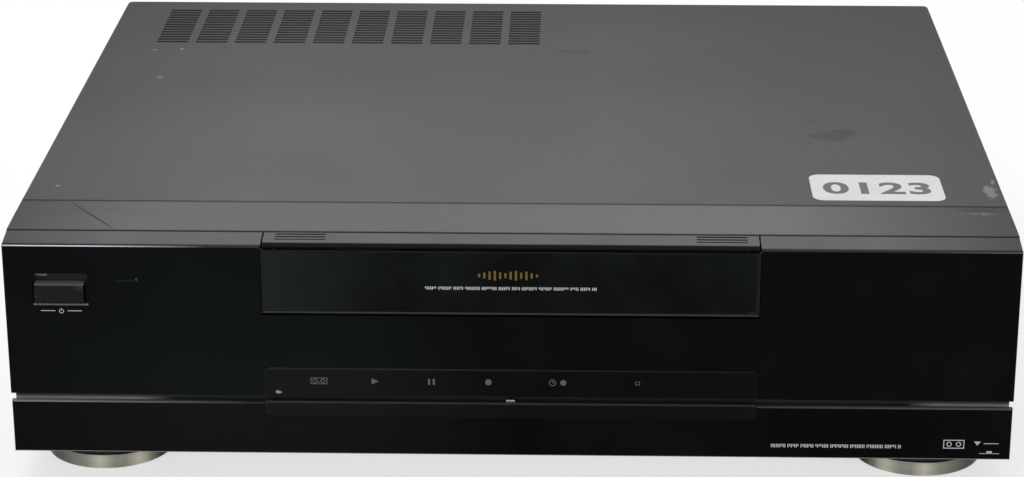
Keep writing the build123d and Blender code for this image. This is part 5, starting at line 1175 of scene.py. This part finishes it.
ink, tree, place = start("grey_toner_print")
toner = add(tree, "ShaderNodeTexNoise", {"Vector": place, "Scale": 1 / (0.9 * MM), "Detail": 5.0})
colour = add(tree, "ShaderNodeMix", {0: toner, 6: linear("4C4C4D"), 7: linear("616162")}, data_type="RGBA")
skin = add(tree, "ShaderNodeBsdfPrincipled", {"Base Color": colour, "Roughness": 0.6})
add(tree, "ShaderNodeOutputMaterial", {0: skin})
FIGURES = "0123"
FIGURE_BOX = (136.3, 183.6, -123.6, -108.2)
FIGURE_WEIGHT = 0.028
FIGURE_SPACING = 1.08
FIGURE_EXTRUDE = 0.5
FIGURE_STEPS = 6
drawn = bpy.data.curves.new("counter_figures", "FONT")
drawn.body = FIGURES
drawn.offset = FIGURE_WEIGHT
drawn.extrude = FIGURE_EXTRUDE
drawn.resolution_u = FIGURE_STEPS
drawn.space_character = FIGURE_SPACING
figures = bpy.data.objects.new("counter_figures_curve", drawn)
scene.collection.objects.link(figures)
bpy.context.view_layer.update()
figure_mesh = bpy.data.meshes.new_from_object(figures.evaluated_get(bpy.context.evaluated_depsgraph_get()))
bpy.data.objects.remove(figures)
spans = [(min(v.co[i] for v in figure_mesh.vertices), max(v.co[i] for v in figure_mesh.vertices))
         for i in range(2)]
FIGURE_Z = (112.86, 112.94)
for vertex in figure_mesh.vertices:
    fraction = [(vertex.co[i] - spans[i][0]) / (spans[i][1] - spans[i][0]) for i in range(2)]
    vertex.co = ((FIGURE_BOX[0] + fraction[0] * (FIGURE_BOX[1] - FIGURE_BOX[0])) * MM,
                 (FIGURE_BOX[2] + fraction[1] * (FIGURE_BOX[3] - FIGURE_BOX[2])) * MM,
                 FIGURE_Z[vertex.co[2] > 0] * MM)
build = bmesh.new()
build.from_mesh(figure_mesh)
bmesh.ops.remove_doubles(build, verts=build.verts, dist=0.01 * MM)
bmesh.ops.recalc_face_normals(build, faces=build.faces)
build.to_mesh(figure_mesh)
build.free()
figure_mesh.materials.clear()
figure_mesh.materials.append(ink)
figures = bpy.data.objects.new("counter_figures", figure_mesh)
scene.collection.objects.link(figures)
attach(figures, "case")

# ------------------------------------------------------------------ printed marks on the front
# Screen-printed ink, a few hundredths of a millimetre thick: a level-bar mark and a fine rule on the
# lid, plain symbols on the display pane, and small marks on the door, plate and inner panel.
INK_THICK = 0.035


def bar(x0, x1, z0, z1):
    """An upright rectangle."""
    return [(x0, z0), (x1, z0), (x1, z1), (x0, z1)]


def bow(x, z, outer, inner, start_at=0, end_at=180):
    """Part of a ring."""
    steps = 14
    return arc((x, z), outer, start_at, end_at, steps) + arc((x, z), inner, end_at, start_at, steps)


def ring_of(x, z, outer, inner):
    """A whole ring in two halves."""
    return [bow(x, z, outer, inner), bow(x, z, outer, inner, 180, 360)]


def dot(x, z, radius):
    """A filled disc."""
    return arc((x, z), radius, 0, 360 * 19 / 20, 19)


def frame_of(x0, x1, z0, z1, line):
    """A rectangle drawn with a line of one width."""
    return [bar(x0, x1, z1 - line, z1), bar(x0, x1, z0, z0 + line), bar(x0, x0 + line, z0 + line, z1 - line),
            bar(x1 - line, x1, z0 + line, z1 - line)]


RULE_STROKE = 0.42
RULE_PITCH = 0.72
RULE_GAP = 0.6
RULE_END = 0.4
SHORT_STROKES = 0.25
SHORT_CUT = 0.35


def ticks(x0, x1, z0, z1, groups, seed):
    """A fine broken rule: short upright strokes in groups of uneven length."""
    draw = random.Random(seed)
    marks = []
    x = x0
    left_in_group = groups
    while x + RULE_END < x1:
        low = z0 if draw.random() > SHORT_STROKES else z0 + (z1 - z0) * SHORT_CUT
        marks.append(bar(x, x + RULE_STROKE, low, z1))
        left_in_group -= 1
        x += RULE_PITCH
        if left_in_group == 0:
            x += RULE_GAP
            left_in_group = groups + draw.choice((-2, -1, 0, 1, 2))
    return marks


def printed(name, outlines, face, material, body):
    """Ink on a surface that faces the front, at a depth in mm."""
    depth = (face + 0.02, face - INK_THICK)
    piece = slab(name, outlines, lambda a, b, side: (a * MM, depth[side] * MM, b * MM), material)
    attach(piece, body)


def ink_of(name, low, high, roughness=0.5):
    """Screen ink: a slightly uneven film of one colour."""
    layer, tree, place = start(name)
    lumps = add(tree, "ShaderNodeTexNoise", {"Vector": place, "Scale": 1 / (1.1 * MM), "Detail": 4.0})
    colour = add(tree, "ShaderNodeMix", {0: lumps, 6: linear(low), 7: linear(high)}, data_type="RGBA")
    skin = add(tree, "ShaderNodeBsdfPrincipled",
               {"Base Color": colour, "Roughness": roughness, "Specular IOR Level": 0.2})
    add(tree, "ShaderNodeOutputMaterial", {0: skin})
    return layer


white_ink = ink_of("white_screen_ink", "B9BABB", "D2D3D4")
dim_ink = ink_of("dim_grey_screen_ink", "565758", "6A6B6C")
gold_ink = ink_of("gold_screen_ink", "66501F", "846530", 0.35)

lid_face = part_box("cassette_door")[0].y / MM
plate_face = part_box("front_plate")[0].y / MM
panel_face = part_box("control_panel")[0].y / MM

LEVELS = (0.35, 0.6, 0.85, 1.0, 0.7, 0.5, 0.8, 1.0, 0.65, 0.9, 0.55, 0.3)
LEVELS_FROM = -13.6
LEVELS_WIDE = 26.6
LEVELS_Z = 97.75
TALLEST_HALF = 2.15
BAR_SHARE = 0.42
bar_pitch = LEVELS_WIDE / len(LEVELS)
level_bars = []
for count, level in enumerate(LEVELS):
    x = LEVELS_FROM + count * bar_pitch
    level_bars.append(bar(x, x + bar_pitch * BAR_SHARE, LEVELS_Z - TALLEST_HALF * level,
                          LEVELS_Z + TALLEST_HALF * level))
printed("lid_level_mark", level_bars, lid_face, gold_ink, "cassette_door")
fine_rule = ticks(-36, 36.6, 91.2, 92.6, 7, 3)
printed("lid_fine_rule", fine_rule, lid_face, white_ink, "cassette_door")

SYMBOL_Z = 48.8
tape_symbol = frame_of(-85.5, -78.3, 47.3, 50.3, 0.32)
for x in (-83.6, -80.2):
    tape_symbol += ring_of(x, SYMBOL_Z, 1.0, 0.65)
tape_symbol.append(bar(-82.6, -81.2, 48.2, 48.5))
play_symbol = [[(-59.4, 47.4), (-56.2, SYMBOL_Z), (-59.4, 50.2)]]
pause_symbol = [bar(-35.2, -34.3, 47.4, 50.2), bar(-33.2, -32.3, 47.4, 50.2)]
record_symbol = [dot(-9.4, SYMBOL_Z, 1.4)]
timer_symbol = ring_of(18.0, SYMBOL_Z, 1.5, 1.15)
timer_symbol += [bar(17.85, 18.15, 48.7, 49.8), bar(18.15, 18.9, 48.65, 48.95), dot(22.6, SYMBOL_Z, 1.3)]
faint_symbol = frame_of(53.3, 55.3, 48.0, 49.6, 0.25)
printed("display_symbols", tape_symbol + play_symbol + pause_symbol + record_symbol + timer_symbol
        + faint_symbol, lid_face, dim_ink, "case")

standby = [bow(-190.85, 79.75, 1.05, 0.8, 125, 415), bar(-190.99, -190.71, 79.8, 81.1)]
standby += [bar(-199.6, -193.4, 79.75, 80.05), bar(-188.3, -182.1, 79.75, 80.05)]
printed("power_symbol", standby, plate_face, white_ink, "case")

door_marks = ticks(112, 167.8, 19.3, 20.9, 9, 5)
door_marks += frame_of(185.8, 194.8, 19.4, 23.5, 0.4)
for x in (188.3, 192.3):
    door_marks += ring_of(x, 21.45, 1.15, 0.75)
door_marks += [[(198.9, 22.8), (200.35, 20.9), (201.8, 22.8)], bar(203.0, 209.4, 21.7, 22.0)]
door_marks += [bar(201.3, 209.9, 17.05, 17.3), bar(204.4, 206.8, 17.5, 18.3)]
printed("door_marks", door_marks, plate_face, white_ink, "control_door")


def pointer(x, z, wide, high):
    """A triangle that points right, or left where the width is negative."""
    return [(x, z - high / 2), (x + wide, z), (x, z + high / 2)]


ABOVE_KEYS = 34.2
key_marks = [[(-178.0, 33.9), (-174.0, 33.9), (-176.0, 35.6)], bar(-178.0, -174.0, 33.1, 33.5)]
key_marks += [pointer(-149.9, ABOVE_KEYS, -2.4, 2.2), pointer(-147.5, ABOVE_KEYS, -2.4, 2.2)]
key_marks += [pointer(-129.3, ABOVE_KEYS, 2.8, 2.6)]
key_marks += [pointer(-108.5, ABOVE_KEYS, 2.4, 2.2), pointer(-106.1, ABOVE_KEYS, 2.4, 2.2)]
key_marks += [bar(-85.2, -82.8, 33.0, 35.4), dot(-58, ABOVE_KEYS, 1.3)]
DIAL_AT = (96, 28)
DIAL_RADII = (7.0, 8.2)
DIAL_HALF_STROKE = 0.15
for count in range(11):
    turn = math.radians(-40 + count * 26)
    inner, outer = ((DIAL_AT[0] + r * math.cos(turn), DIAL_AT[1] + r * math.sin(turn)) for r in DIAL_RADII)
    side = (-math.sin(turn) * DIAL_HALF_STROKE, math.cos(turn) * DIAL_HALF_STROKE)
    key_marks.append([(inner[0] - side[0], inner[1] - side[1]), (outer[0] - side[0], outer[1] - side[1]),
                      (outer[0] + side[0], outer[1] + side[1]), (inner[0] + side[0], inner[1] + side[1])])
SLIDER_PITCH = 3.2
for count in range(11):
    shift = count * SLIDER_PITCH
    key_marks.append(bar(-24.1 + shift, -23.9 + shift, 32.4, 33.6 if count % 5 else 34.6))
printed("panel_marks", key_marks, panel_face, white_ink, "case")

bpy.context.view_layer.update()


def plain(box):
    """A box as plain lists of numbers."""
    return [[float(c) for c in corner] for corner in box]
